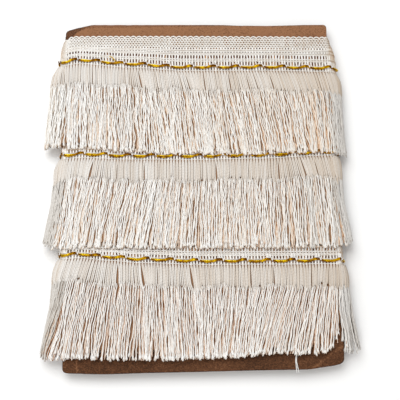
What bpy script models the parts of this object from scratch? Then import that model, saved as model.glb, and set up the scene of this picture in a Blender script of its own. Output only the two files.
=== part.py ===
"""Tassel fringe trim wound in three overlapping tiers on a cardboard card.

The pack lies on its back. X runs across the card, Y up the card and Z away from the floor.
Sizes are written in millimetres, and MM turns them into Blender's metres.
Each tier is a stack of level turns of one trim: a knitted heading, a gilt cord sewn along
its foot, and a fringe that hangs over the heading of the tier below.
"""

import math
import random
from collections import namedtuple

import bmesh
import bpy

MM = 0.001

# The card, a sheet of board a little out of square.
CARD_THICKNESS = 4.0
CARD_EDGE_ROUNDING = 0.8
CARD_CORNER_STEPS = 4
SQUARE_EDGE_ANGLE = 60.0
CardCorner = namedtuple("CardCorner", "x y radius")
CARD_CORNERS = {
    "foot left": CardCorner(-110.6, -148.7, 7.0),
    "foot bend": CardCorner(62.0, -148.2, 60.0),
    "foot right": CardCorner(117.4, -142.5, 6.0),
    "head right": CardCorner(109.3, 148.7, 3.5),
    "head bend": CardCorner(-94.0, 148.7, 20.0),
    "head left": CardCorner(-116.2, 143.4, 4.5),
}

# Where the card lies between the turns under it and those on top.
BACK_LAYERS = 7.7
CARD_HALF = CARD_THICKNESS / 2
CARD_MID_Z = BACK_LAYERS + CARD_HALF
CLEARANCE = 0.3

# The card's two long edges, which every turn bends round.
LEFT_EDGE = (CARD_CORNERS["foot left"], CARD_CORNERS["head left"])
RIGHT_EDGE = (CARD_CORNERS["foot right"], CARD_CORNERS["head right"])

# Each tier's line across the card: the y of its gilt cord and the rise from there to the
# heading's top edge.
LinePoint = namedtuple("LinePoint", "x cord rise")
TIER_LINES = {
    "top": (
        LinePoint(-120.0, 113.0, 22.4),
        LinePoint(-105.0, 114.4, 22.2),
        LinePoint(-60.0, 111.0, 25.9),
        LinePoint(-10.0, 108.3, 28.6),
        LinePoint(60.0, 107.9, 28.7),
        LinePoint(118.0, 107.0, 29.2),
    ),
    "middle": (
        LinePoint(-118.0, 31.5, 28.5),
        LinePoint(-100.0, 32.2, 28.5),
        LinePoint(-60.0, 30.6, 28.5),
        LinePoint(0.0, 29.8, 28.5),
        LinePoint(50.0, 30.2, 28.5),
        LinePoint(118.0, 32.6, 28.5),
    ),
    "bottom": (
        LinePoint(-118.0, -52.9, 28.5),
        LinePoint(-100.0, -52.2, 28.5),
        LinePoint(-50.0, -55.9, 28.5),
        LinePoint(0.0, -57.6, 28.5),
        LinePoint(60.0, -57.6, 28.5),
        LinePoint(118.0, -57.2, 28.5),
    ),
}

# The heading's section from its top edge down: knitted bands that stand up between rows of
# holes. The share runs from the top edge to the foot, and the lift is above the card.
HEADING_BELOW_CORD = 3.5
HEADING_INNER_LIFT = CLEARANCE
HEADING_INNER_SPREAD = 1.2
BACK_SQUEEZE = 0.8
SIDE_FULLNESS = {"top": 0.75, "middle": 0.35, "bottom": 0.35}
HeadingRow = namedtuple("HeadingRow", "share lift")
HEADING_ROWS = (
    HeadingRow(0.00, 1.7),
    HeadingRow(0.04, 2.7),
    HeadingRow(0.27, 3.4),
    HeadingRow(0.31, 2.8),
    HeadingRow(0.45, 4.1),
    HeadingRow(0.62, 4.0),
    HeadingRow(0.74, 5.1),
    HeadingRow(0.80, 4.6),
    HeadingRow(1.00, 5.2),
)
COVERED_HEADING_ROWS = (
    HeadingRow(0.00, 2.0),
    HeadingRow(0.45, 3.9),
    HeadingRow(0.62, 4.0),
    HeadingRow(0.74, 5.1),
    HeadingRow(0.80, 4.6),
    HeadingRow(1.00, 5.2),
)
SCALLOP_RISE = 1.1
SCALLOP_SHARE = 0.1
SCALLOPS_ACROSS = 46
BACK_STEPS = 20
SIDE_STEPS = 6
COVERED_STEPS = 30

# The gilt cord lies in long sags with a short rise where a stitch holds it.
CORD_RADIUS = 0.9
CORD_SIDES = 4
CORD_WAVE_RISE = 1.0
CORD_WAVE_LENGTH = 19.7
CORD_CREST_X = {"top": -7.9, "middle": 0.2, "bottom": -3.3}
CORD_FRONT_STEPS = 58
CORD_BACK_STEPS = 24
CORD_SEAT_LIFT = 5.1
CORD_OFF_SEAT = CLEARANCE + CORD_RADIUS

# The fringe's section, from the strip at its head to the cut ends. Drops are below the cord and
# lifts are above the card's two faces. The lowest tier has no heading under its ends, so they
# sink closer to the card. The side wall is the fringe's thickness at the card's long edges.
FringeSection = namedtuple(
    "FringeSection", "drop front_in front_out free_in free_out back_in back_out side_wall"
)
FRINGE_SECTIONS = (
    FringeSection(3.8, 2.6, 5.9, 2.6, 5.9, 2.6, 5.0, 3.2),
    FringeSection(12.0, 3.6, 7.8, 3.6, 7.8, 3.2, 7.1, 4.2),
    FringeSection(22.5, 4.4, 8.6, 4.2, 8.4, 4.0, 7.7, 4.2),
    FringeSection(42.0, 4.8, 8.9, 3.4, 7.6, 4.4, 7.7, 3.6),
    FringeSection(60.0, 5.5, 8.8, 2.6, 6.6, 5.0, 7.7, 3.0),
    FringeSection(78.5, 6.4, 8.6, 2.2, 5.6, 5.4, 7.7, 2.4),
)
STRIP_SECTIONS = 3

# How far each tier's fringe stands out past the card's long edges at the same drops.
SideSpread = namedtuple("SideSpread", "left right")
SIDE_SPREADS = {
    "top": (
        SideSpread(6.6, 6.8),
        SideSpread(11.2, 10.0),
        SideSpread(13.2, 10.3),
        SideSpread(14.7, 10.0),
        SideSpread(16.4, 10.2),
        SideSpread(18.6, 11.4),
    ),
    "middle": (
        SideSpread(4.9, 4.8),
        SideSpread(8.6, 6.2),
        SideSpread(9.3, 6.3),
        SideSpread(11.4, 6.8),
        SideSpread(14.9, 9.9),
        SideSpread(18.4, 12.6),
    ),
    "bottom": (
        SideSpread(5.2, 4.8),
        SideSpread(8.7, 6.6),
        SideSpread(10.1, 6.8),
        SideSpread(11.2, 8.7),
        SideSpread(14.8, 11.3),
        SideSpread(18.4, 14.0),
    ),
}

# The locks into which the fringe parts, on each stretch of the way round.
LOCKS = {"front": 34, "right": 8, "back": 24, "left": 8}
SIDE_ARC = 34.0
FRONT_WIDTH = 224.0
LOCK_ROOT_GAP = 0.5
LOCK_TIP_SHARE = 0.74
LOCK_LENGTH_SPREAD = 1.5
LOCK_LEAN = 3.0
TIP_TO_CORD_BELOW = 2.4

# Each tier's fringe length below its cord, how its locks wander and the seed of its ends.
TierManner = namedtuple("TierManner", "length lean_phase seed")
TIER_MANNERS = {
    "top": TierManner(77.5, 0.4, 3),
    "middle": TierManner(76.8, 2.1, 5),
    "bottom": TierManner(79.2, 4.0, 8),
}
TIER_BELOW = {"top": "middle", "middle": "bottom"}

CARD_COLOUR = (0.36, 0.19, 0.105)
YARN_COLOUR = (0.80, 0.76, 0.71)
KNIT_COLOUR = (0.84, 0.82, 0.79)
GILT_COLOUR = (0.78, 0.50, 0.06)

Station = namedtuple("Station", "across angle")


def blend(a, b, share):
    return a + (b - a) * share


def clear_scene():
    for obj in list(bpy.data.objects):
        bpy.data.objects.remove(obj)


def plain_material(name, colour, roughness, metallic=0.0):
    material = bpy.data.materials.new(name)
    material.use_nodes = True
    surface = material.node_tree.nodes["Principled BSDF"]
    surface.inputs["Base Color"].default_value = (*colour, 1.0)
    surface.inputs["Roughness"].default_value = roughness
    surface.inputs["Metallic"].default_value = metallic
    return material


def add_object(name, points, faces, material):
    """An object from points in millimetres, with its faces turned outwards."""
    mesh = bpy.data.meshes.new(name)
    mesh.from_pydata([tuple(c * MM for c in p) for p in points], [], faces)
    shape = bmesh.new()
    shape.from_mesh(mesh)
    bmesh.ops.recalc_face_normals(shape, faces=shape.faces)
    shape.to_mesh(mesh)
    shape.free()
    mesh.materials.append(material)
    obj = bpy.data.objects.new(name, mesh)
    bpy.context.scene.collection.objects.link(obj)
    return obj


# Where things lie round the card.


def edge_x(edge, y):
    """The x of one of the card's long edges at this height."""
    foot, head = edge
    return blend(foot.x, head.x, (y - foot.y) / (head.y - foot.y))


def tier_line(tier, x):
    """A tier's line at this x, eased between the points of its table."""
    rows = TIER_LINES[tier]
    x = min(max(x, rows[0].x), rows[-1].x)
    for before, after in zip(rows, rows[1:]):
        if x <= after.x:
            share = (x - before.x) / (after.x - before.x)
            eased = share * share * (3 - 2 * share)
            return LinePoint(*(blend(a, b, eased) for a, b in zip(before, after)))
    return rows[-1]


def station_at(turn):
    """A place on the way round the card. The four whole steps of turn are the front from left
    to right, the right edge, the back from right to left and the left edge."""
    turn %= 4.0
    stretch = int(turn)
    share = turn - stretch
    if stretch == 0:
        return Station(share, math.pi / 2)
    if stretch == 1:
        return Station(1.0, math.pi / 2 - math.pi * share)
    if stretch == 2:
        return Station(1.0 - share, -math.pi / 2)
    return Station(0.0, -math.pi / 2 - math.pi * share)


def station_x(station):
    """The station's x on the card, near enough to read a tier's line there."""
    return blend(LEFT_EDGE[1].x, RIGHT_EDGE[0].x, station.across)


def place(station, y, front_lift, back_lift, left_spread, right_spread):
    """The point at this height that stands off the card by the lift or spread of its side."""
    left = edge_x(LEFT_EDGE, y) + CARD_HALF
    right = edge_x(RIGHT_EDGE, y) - CARD_HALF
    up, out = math.sin(station.angle), math.cos(station.angle)
    lift = front_lift if up > 0 else back_lift
    spread = right_spread if out > 0 else left_spread
    return (
        blend(left, right, station.across) + (CARD_HALF + spread) * out,
        y,
        CARD_MID_Z + (CARD_HALF + lift) * up,
    )


def even_turns(front, side, back):
    """Turns spaced evenly along each of the four stretches."""
    counts = (front, side, back, side)
    return [stretch + i / n for stretch, n in enumerate(counts) for i in range(n)]


def ring_faces(stations, points_each):
    """Quads that close a section of points_each points into a ring of stations."""
    faces = []
    for i in range(stations):
        here, there = i * points_each, (i + 1) % stations * points_each
        for j in range(points_each):
            k = (j + 1) % points_each
            faces.append((here + j, here + k, there + k, there + j))
    return faces


# The pieces.


def make_card(material):
    """The board, with rounded corners and softened edges."""
    outline = []
    corners = list(CARD_CORNERS.values())
    for i, corner in enumerate(corners):
        outline += corner_arc(corners[i - 1], corner, corners[(i + 1) % len(corners)])
    low = [(x, y, BACK_LAYERS) for x, y in outline]
    high = [(x, y, BACK_LAYERS + CARD_THICKNESS) for x, y in outline]
    n = len(outline)
    sides = [(i, (i + 1) % n, n + (i + 1) % n, n + i) for i in range(n)]
    faces = [tuple(reversed(range(n))), tuple(range(n, 2 * n)), *sides]
    card = add_object("card", low + high, faces, material)
    bevel = card.modifiers.new("softened edges", "BEVEL")
    bevel.width = CARD_EDGE_ROUNDING * MM
    bevel.segments = 2
    bevel.limit_method = "ANGLE"
    bevel.angle_limit = math.radians(SQUARE_EDGE_ANGLE)
    return card


def corner_arc(before, corner, after):
    """Points of the round corner between the two straight sides that meet there."""
    to_before = math.atan2(before.y - corner.y, before.x - corner.x)
    to_after = math.atan2(after.y - corner.y, after.x - corner.x)
    opening = (to_before - to_after) % (2 * math.pi)
    reach = corner.radius / math.tan(opening / 2)
    middle = to_after + opening / 2
    off = corner.radius / math.sin(opening / 2)
    cx = corner.x + off * math.cos(middle)
    cy = corner.y + off * math.sin(middle)
    start = math.atan2(
        corner.y + reach * math.sin(to_before) - cy,
        corner.x + reach * math.cos(to_before) - cx,
    )
    sweep = math.pi - opening
    angles = [start + sweep * i / CARD_CORNER_STEPS for i in range(CARD_CORNER_STEPS + 1)]
    return [
        (cx + corner.radius * math.cos(a), cy + corner.radius * math.sin(a)) for a in angles
    ]


def heading_spread(tier, lift):
    """How far the heading stands out past the card's long edges where it has this lift."""
    return HEADING_INNER_SPREAD + (lift - HEADING_INNER_LIFT) * SIDE_FULLNESS[tier]


def make_heading(tier, rows, turns, scalloped, material):
    """A knitted heading's turns as one band round the card, with its raised rows."""
    inner, loose = HEADING_INNER_LIFT, HEADING_INNER_SPREAD
    points = []
    for i, turn in enumerate(turns):
        station = station_at(turn)
        line = tier_line(tier, station_x(station))
        top, foot = line.cord + line.rise, line.cord - HEADING_BELOW_CORD
        crest = scalloped and turn < 1.0 and i % 2 == 1
        for row in rows:
            rise = SCALLOP_RISE if crest and row.share < SCALLOP_SHARE else 0.0
            y = blend(top, foot, row.share) + rise
            side = heading_spread(tier, row.lift)
            points.append(place(station, y, row.lift, row.lift * BACK_SQUEEZE, side, side))
        points.append(place(station, foot, inner, inner, loose, loose))
        points.append(place(station, top, inner, inner, loose, loose))
    faces = ring_faces(len(turns), len(rows) + 2)
    return add_object(f"heading_{tier}", points, faces, material)


def make_cord(tier, material):
    """The gilt cord's visible turn, a closed tube along the heading's foot."""
    lift = CORD_SEAT_LIFT + CORD_OFF_SEAT
    back_lift = CORD_SEAT_LIFT * BACK_SQUEEZE + CORD_OFF_SEAT
    spread = heading_spread(tier, CORD_SEAT_LIFT) + CORD_OFF_SEAT
    centres = []
    for turn in even_turns(CORD_FRONT_STEPS, SIDE_STEPS, CORD_BACK_STEPS):
        station = station_at(turn)
        x = station_x(station)
        phase = 2 * math.pi * (x - CORD_CREST_X[tier]) / CORD_WAVE_LENGTH
        y = tier_line(tier, x).cord + CORD_WAVE_RISE * math.cos(phase)
        centres.append(place(station, y, lift, back_lift, spread, spread))
    points = []
    count = len(centres)
    for i, (x, y, z) in enumerate(centres):
        before, after = centres[i - 1], centres[(i + 1) % count]
        along_x, along_z = after[0] - before[0], after[2] - before[2]
        length = math.hypot(along_x, along_z)
        out_x, out_z = -along_z / length, along_x / length
        for k in range(CORD_SIDES):
            angle = 2 * math.pi * (k + 0.5) / CORD_SIDES
            off = CORD_RADIUS * math.cos(angle)
            points.append((x + off * out_x, y + CORD_RADIUS * math.sin(angle), z + off * out_z))
    faces = ring_faces(count, CORD_SIDES)
    return add_object(f"gilt_cord_{tier}", points, faces, material)


def lock_spans():
    """(start, end) of each lock on the way round, a small gap apart."""
    spans = []
    for stretch, (side, count) in enumerate(LOCKS.items()):
        length = FRONT_WIDTH if side in ("front", "back") else SIDE_ARC
        gap = LOCK_ROOT_GAP / length
        for i in range(count):
            spans.append((stretch + i / count + gap / 2, stretch + (i + 1) / count - gap / 2))
    return spans


def fringe_corner(tier, turn, index, outside, drop):
    """A corner of one of the fringe's sections at this turn, on its outer or inner skin."""
    station = station_at(turn)
    section, spread = FRINGE_SECTIONS[index], SIDE_SPREADS[tier][index]
    y = tier_line(tier, station_x(station)).cord - drop
    if tier == "bottom":
        front = section.free_out if outside else section.free_in
    else:
        front = section.front_out if outside else section.front_in
    back = section.back_out if outside else section.back_in
    wall = 0.0 if outside else section.side_wall
    return place(station, y, front, back, spread.left - wall, spread.right - wall)


def lock_length(tier, turn):
    """A lock's length below its own cord, which stops short of the cord of the tier below."""
    length = TIER_MANNERS[tier].length
    below = TIER_BELOW.get(tier)
    if below is None:
        return length
    x = station_x(station_at(turn))
    pitch = tier_line(tier, x).cord - tier_line(below, x).cord
    return min(length, pitch - TIP_TO_CORD_BELOW - LOCK_LENGTH_SPREAD)


def make_fringe(tier, material):
    """The fringe's turns as one node: a strip round the card with locks grown from its foot."""
    manner = TIER_MANNERS[tier]
    chance = random.Random(manner.seed)
    spans = lock_spans()
    turns = [turn for span in spans for turn in span]
    skins = [(i, True) for i in range(STRIP_SECTIONS)]
    skins += [(i, False) for i in reversed(range(STRIP_SECTIONS))]
    points, faces = [], []
    for turn in turns:
        for index, outside in skins:
            drop = FRINGE_SECTIONS[index].drop
            points.append(fringe_corner(tier, turn, index, outside, drop))
    foot_side = STRIP_SECTIONS - 1
    for i, quad in enumerate(ring_faces(len(turns), len(skins))):
        station, side = divmod(i, len(skins))
        under_lock = side == foot_side and station % 2 == 0
        if not under_lock:
            faces.append(quad)
    for i, span in enumerate(spans):
        a, b = 2 * i * len(skins), (2 * i + 1) * len(skins)
        root = (a + foot_side, b + foot_side, b + foot_side + 1, a + foot_side + 1)
        length = lock_length(tier, span[0])
        length += chance.uniform(-LOCK_LENGTH_SPREAD, LOCK_LENGTH_SPREAD)
        grow_lock(tier, span, root, length, manner.lean_phase, points, faces)
    return add_object(f"fringe_{tier}", points, faces, material)


def grow_lock(tier, span, root, length, lean_phase, points, faces):
    """Adds a lock's points and faces, from its root on the strip's foot to its cut end."""
    middle, half = sum(span) / 2, (span[1] - span[0]) / 2
    on_side = int(middle) % 2 == 1
    lean = 0.0 if on_side else lock_lean(middle, lean_phase) / FRONT_WIDTH
    first_drop = FRINGE_SECTIONS[STRIP_SECTIONS - 1].drop
    full_drop = FRINGE_SECTIONS[-1].drop
    ring = root
    for index in range(STRIP_SECTIONS, len(FRINGE_SECTIONS)):
        fall = (FRINGE_SECTIONS[index].drop - first_drop) / (full_drop - first_drop)
        width = half * blend(1.0, LOCK_TIP_SHARE, fall)
        centre = middle + lean * fall
        drop = blend(first_drop, length, fall)
        first = len(points)
        for turn, outside in (
            (centre - width, True),
            (centre + width, True),
            (centre + width, False),
            (centre - width, False),
        ):
            points.append(fringe_corner(tier, turn, index, outside, drop))
        lower = (first, first + 1, first + 2, first + 3)
        for k in range(4):
            j = (k + 1) % 4
            faces.append((ring[k], ring[j], lower[j], lower[k]))
        ring = lower
    faces.append(ring)


def lock_lean(turn, phase):
    """How far a lock's tip hangs aside, in millimetres: a slow wander along each face, dying
    out at the long edges so that the locks there keep clear of each other."""
    share = turn % 1.0
    calm = math.sin(math.pi * share)
    wander = math.sin(5.0 * share + phase) + 0.5 * math.sin(11.0 * share + 2.0 * phase)
    return LOCK_LEAN * calm * wander


def stand_on_origin():
    """Moves the whole pack so that the box round it stands centred over the origin."""
    bpy.context.view_layer.update()
    shapes = [obj.data for obj in bpy.data.objects]
    xs = [v.co.x for shape in shapes for v in shape.vertices]
    ys = [v.co.y for shape in shapes for v in shape.vertices]
    zs = [v.co.z for shape in shapes for v in shape.vertices]
    shift = ((min(xs) + max(xs)) / 2, (min(ys) + max(ys)) / 2, min(zs))
    for shape in shapes:
        for vertex in shape.vertices:
            vertex.co.x -= shift[0]
            vertex.co.y -= shift[1]
            vertex.co.z -= shift[2]


def main():
    clear_scene()
    board = plain_material("board", CARD_COLOUR, 0.85)
    knit = plain_material("knit", KNIT_COLOUR, 0.9)
    yarn = plain_material("yarn", YARN_COLOUR, 0.8)
    gilt = plain_material("gilt", GILT_COLOUR, 0.35, 0.9)
    make_card(board)
    open_turns = even_turns(SCALLOPS_ACROSS * 2, SIDE_STEPS, BACK_STEPS)
    covered_turns = even_turns(COVERED_STEPS, SIDE_STEPS, BACK_STEPS)
    make_heading("top", HEADING_ROWS, open_turns, True, knit)
    for tier in ("middle", "bottom"):
        make_heading(tier, COVERED_HEADING_ROWS, covered_turns, False, knit)
    for tier in TIER_LINES:
        make_cord(tier, gilt)
        make_fringe(tier, yarn)
    stand_on_origin()


main()
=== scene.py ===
# %% [markdown]
# # A fringe trim wound on its card
# A fringe trim has a knitted heading, which is sewn to a curtain or a lampshade, and a fringe
# of strands that hangs from it. Shops keep it wound on a card in overlapping tiers. Here every
# yarn that shows is a real tube of mesh, because light has to fall between the strands. We
# start with the solids of the pack, which say where every piece sits.

# %% Load the solids and note their box
import math
from collections import namedtuple

import bpy
import numpy as np
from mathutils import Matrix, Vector


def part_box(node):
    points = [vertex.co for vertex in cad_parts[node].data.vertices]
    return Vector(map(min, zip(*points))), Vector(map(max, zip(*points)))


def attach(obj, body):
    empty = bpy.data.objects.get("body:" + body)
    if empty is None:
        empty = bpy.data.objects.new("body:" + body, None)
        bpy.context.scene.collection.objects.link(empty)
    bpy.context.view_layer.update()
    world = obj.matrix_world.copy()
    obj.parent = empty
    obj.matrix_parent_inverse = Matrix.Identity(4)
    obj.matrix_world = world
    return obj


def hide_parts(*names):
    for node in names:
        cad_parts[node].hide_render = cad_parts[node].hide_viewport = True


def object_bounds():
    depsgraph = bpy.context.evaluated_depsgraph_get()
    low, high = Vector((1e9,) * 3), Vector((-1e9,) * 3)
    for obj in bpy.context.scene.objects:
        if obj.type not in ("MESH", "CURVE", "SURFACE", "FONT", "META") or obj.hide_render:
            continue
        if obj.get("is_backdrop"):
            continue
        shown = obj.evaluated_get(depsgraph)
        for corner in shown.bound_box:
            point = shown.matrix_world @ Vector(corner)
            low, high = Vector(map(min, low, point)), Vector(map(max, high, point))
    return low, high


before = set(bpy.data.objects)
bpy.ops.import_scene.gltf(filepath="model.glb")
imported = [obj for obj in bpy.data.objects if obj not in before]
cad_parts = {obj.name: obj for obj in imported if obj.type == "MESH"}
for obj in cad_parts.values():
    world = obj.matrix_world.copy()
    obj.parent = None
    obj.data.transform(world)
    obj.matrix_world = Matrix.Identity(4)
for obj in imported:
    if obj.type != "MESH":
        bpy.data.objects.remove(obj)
cad_box = [list(corner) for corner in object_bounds()]
MM = 0.001
TAU = 2 * math.pi
rng = np.random.default_rng(41)
print("nodes:", sorted(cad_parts))

# %% [markdown]
# ## A place along the trim
# The trim runs round the card: across the front from left to right, round the right edge,
# back across the rear and round the left edge. One number, the run in millimetres from the
# front's left end, therefore says where along the trim a yarn is. The knit repeats on every
# weft, and the gilt cord on every eighth, so a count of wefts comes from the same number.

# %% Runs, wefts and the card's edges
LENGTHS = np.array([222.6, 34.0, 222.6, 34.0])
WEFTS = np.array([90, 14, 90, 14])
STOPS = np.concatenate([[0.0], np.cumsum(LENGTHS)])
WEFT_STOPS = np.concatenate([[0], np.cumsum(WEFTS)])
FACE_LENGTH, SIDE_LENGTH = LENGTHS[:2]
ROUND = STOPS[-1]
WEFTS_A_WAVE = 8
# How many wefts have passed at the end of the front, the right edge, the back and the left edge.
FRONT_END, RIGHT_END, BACK_END, LEFT_END = WEFT_STOPS[1:]

# The card's right edge as the tables measure x. SHIFT_X takes their x into the solids' frame.
CARD_RIGHT = 117.245
SHIFT_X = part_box("card")[1].x / MM - CARD_RIGHT
CARD_BACK, CARD_FRONT = (corner.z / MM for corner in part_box("card"))
CARD_HALF = (CARD_FRONT - CARD_BACK) / 2
CARD_MID = (CARD_FRONT + CARD_BACK) / 2

# The card's long edges lean a little, as straight lines from their foot to their head.
Edge = namedtuple("Edge", "foot_x foot_y head_x head_y")
LEFT = Edge(-110.6, -148.7, -116.2, 143.4)
RIGHT = Edge(117.4, -142.5, 109.3, 148.7)
print("one round takes", round(ROUND, 1), "mm of trim and", LEFT_END, "wefts")

# %% [markdown]
# A curve modifier could bend a flat trim round the card, but it would stretch the yarns at
# the card's edges. A function from a run and a height to a point keeps every yarn's place
# exact, and also gives the outward direction that a tube needs for its rings.

# %% From a run to a place on the card
def station(run):
    """(across, angle) of a run: the share of the way across, and the way the side faces."""
    run = np.asarray(run, float) % ROUND
    stretch = np.searchsorted(STOPS[1:4], run, side="right")
    share = (run - STOPS[stretch]) / LENGTHS[stretch]
    none, whole = 0 * share, 1 + 0 * share
    across = np.choose(stretch, [share, whole, 1 - share, none])
    half_turns = np.choose(stretch, [none, share, whole, 1 + share])
    return across, math.pi / 2 - math.pi * half_turns


def edge_x(edge, y):
    return edge.foot_x + (edge.head_x - edge.foot_x) * (y - edge.foot_y) / (edge.head_y - edge.foot_y)


def place(run, y, front, back, left, right):
    """(points, outward directions) in millimetres, off the card by the lift of their side."""
    across, angle = station(run)
    up, out = np.sin(angle), np.cos(angle)
    lift = np.where(up > 0, front, back)
    spread = np.where(out > 0, right, left)
    inner_left, inner_right = edge_x(LEFT, y) + CARD_HALF, edge_x(RIGHT, y) - CARD_HALF
    x = inner_left + (inner_right - inner_left) * across + (CARD_HALF + spread) * out
    z = CARD_MID + (CARD_HALF + lift) * up
    points = np.stack(np.broadcast_arrays(x + SHIFT_X, y, z), -1)
    outward = np.stack(np.broadcast_arrays(out, 0 * out, up), -1)
    return points, np.broadcast_to(outward, points.shape)


# %% [markdown]
# Yarns hang at a list of runs, which lie close where they are seen and wider across the
# back. What chance adds to them comes from one seeded generator, always in the same order,
# so every build gives the same trim.

# %% Lists of runs, tables and chance
def runs_round(step, back_step):
    """Runs all the way round the card, step apart, or back_step apart across the back."""
    parts = []
    for start, length, gap in zip(STOPS, LENGTHS, (step, step, back_step, step)):
        count = round(length / gap)
        parts.append(start + np.arange(count) * length / count)
    return np.concatenate(parts)


def weft_count(run):
    return np.interp(np.asarray(run) % ROUND, STOPS, WEFT_STOPS)


def runs_of_wefts(first, last, each=1):
    """Runs in the middle of every weft between two counts, or of each part of a weft."""
    counts = first + (np.arange((last - first) * each) + 0.5) / each
    return np.interp(counts, WEFT_STOPS, STOPS)


def read_table(rows, x):
    """The columns of a table behind its first one, read at x between the rows."""
    rows = np.array(rows, float)
    return [np.interp(x, rows[:, 0], column) for column in rows[:, 1:].T]


def random_column(runs, low, high):
    """An even chance between low and high for each run, as a column."""
    return rng.uniform(low, high, (len(runs), 1))


def normal_column(runs, spread):
    """A normal chance round zero for each run, as a column."""
    return rng.normal(0, spread, (len(runs), 1))


print("wefts across the front:", len(runs_of_wefts(0, FRONT_END)))

# %% [markdown]
# ## Where the tiers lie
# A few short tables hold the line that each tier's gilt cord follows, how thick the turns are
# and how far they stand out at the card's long edges. They are in millimetres, as on a maker's
# drawing, and are read between their rows.

# %% Lines of the three tiers
TIERS = ("top", "middle", "bottom")


def by_tier(*values):
    return dict(zip(TIERS, values))


# Columns are x, the gilt cord's y, and the rise from it to the heading's top edge.
LINES = {
    "top": [
        (-117, 113.4, 20.0), (-112, 114.4, 22.3), (-106, 115.2, 21.8), (-60, 111.6, 25.7),
        (-10, 108.7, 28.6), (60, 108.9, 28.1), (118, 108.0, 28.6),
    ],
    "middle": [
        (-118, 31.5, 28.5), (-100, 32.2, 28.5), (-60, 30.8, 28.5),
        (0, 30.6, 28.5), (50, 31.6, 28.5), (118, 34.4, 28.5),
    ],
    "bottom": [
        (-118, -52.9, 28.5), (-100, -52.4, 28.5), (-82, -54.4, 28.5), (-50, -56.4, 28.5),
        (0, -57.8, 28.5), (60, -57.6, 28.5), (118, -57.2, 28.5),
    ],
}

# Columns are x and the y that the cut ends reach.
TIPS = {
    "top": [
        (-129, 36.0), (-100, 35.5), (-83, 34.4), (-42, 31.4), (0, 30.2), (40, 30.8),
        (75, 32.0), (105, 32.4), (116, 30.2),
    ],
    "middle": [
        (-129, -43.7), (-114, -48.5), (0, -48.5), (82, -48.4), (108, -47.8), (118, -45.5), (126, -42.1),
    ],
    "bottom": [
        (-128, -130.1), (-111, -139.6), (-72, -140.4), (0, -138.8), (48, -136.8),
        (80, -134.0), (104, -135.0), (112, -132.5), (115, -127), (117.2, -119),
        (118.5, -132.5), (123, -135), (128, -133), (131, -130),
    ],
}
print("rows of the cord lines:", {tier: len(LINES[tier]) for tier in TIERS})

# %% [markdown]
# The fringe isn't flat: it rises over the turns below it and stands out at the card's edges. It
# could be sculpted, but a profile that is read by the drop below the cord is easier to correct,
# and every layer of strands can measure its depth from it.

# %% Lifts and spreads of the three tiers
# Columns are the drop below the cord, the outer skin's lift off the front face, the same for
# the lowest tier, the lift off the back, and the factor that depths under the skin take there.
SKIN = [
    (3.8, 5.9, 5.9, 5.0, 0.8), (12.0, 7.8, 7.8, 7.1, 1.0), (22.5, 8.6, 8.4, 7.7, 1.0),
    (42.0, 8.9, 7.6, 7.7, 1.0), (60.0, 8.3, 6.6, 7.7, 0.8), (78.5, 7.1, 5.6, 7.7, 0.6),
]

# Columns are the spread past the card's left and right edge, at the drops of SKIN.
SPREAD = {
    "top": [(6.6, 6.8), (11.2, 10.0), (13.2, 10.3), (14.7, 10.0), (16.4, 10.2), (18.6, 11.4)],
    "middle": [(4.9, 4.8), (8.6, 6.2), (9.3, 6.3), (11.4, 6.8), (14.9, 9.9), (18.4, 12.6)],
    "bottom": [(5.2, 4.8), (8.7, 6.6), (10.1, 6.8), (11.2, 8.7), (14.8, 11.3), (18.4, 14.0)],
}

# Columns are the share of the way from the heading's top edge to its foot, and its lift.
HEADING_LIFT = ((0.0, 1.9), (0.04, 2.7), (0.27, 3.4), (0.45, 4.0), (0.74, 5.0), (1.0, 5.2))
# The heading goes on this far below the cord.
HEADING_BELOW = 3.5
# At the card's long edges it stands out by INNER_SPREAD, plus its lift times the tier's fullness.
INNER_SPREAD, INNER_LIFT = 1.2, 0.3
FULLNESS = by_tier(0.75, 0.35, 0.35)
# The pack lies on its back, so the lift there is smaller by this factor.
BACK_SQUEEZE = 0.8
# At the card's long edges the top heading is pinched at its upper edge and bulges below it.
PINCH = by_tier(1.6, 0.0, 0.0)
BULGE = by_tier(1.8, 0.0, 0.0)
# Shares of the way down: the pinch has faded here, the bulge starts here, and is whole so far on.
PINCH_END, BULGE_START, BULGE_GROWS = 0.3, 0.2, 0.3
print("the fringe stands up to", max(row[1] for row in SKIN), "mm off the card's front")

# %% [markdown]
# These functions turn the tables into points. The cord's line is eased between its rows,
# because a wound trim bends smoothly. The profiles have rows enough for straight steps.

# %% Places on the fringe and on the heading
def station_x(across):
    return LEFT.head_x + (RIGHT.foot_x - LEFT.head_x) * across


def tier_line(tier, run):
    """(cord y, rise) at these runs, eased between the rows of the tier's table."""
    rows = np.array(LINES[tier], float)
    x = np.clip(station_x(station(run)[0]), rows[0, 0], rows[-1, 0])
    i = np.clip(np.searchsorted(rows[:, 0], x) - 1, 0, len(rows) - 2)
    share = (x - rows[i, 0]) / (rows[i + 1, 0] - rows[i, 0])
    eased = share * share * (3 - 2 * share)
    mixed = rows[i, 1:] + (rows[i + 1, 1:] - rows[i, 1:]) * eased[..., None]
    return mixed[..., 0], mixed[..., 1]


def fringe_place(tier, run, drop, depth):
    """Points at this drop below the cord, this deep under the fringe's outer skin."""
    rows = np.column_stack([SKIN, SPREAD[tier]])
    front, lowest_front, back, factor, left, right = read_table(rows, drop)
    skin = (lowest_front if tier == "bottom" else front, back, left, right)
    y = tier_line(tier, run)[0] - drop
    return place(run, y, *(side - depth * factor for side in skin))


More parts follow.
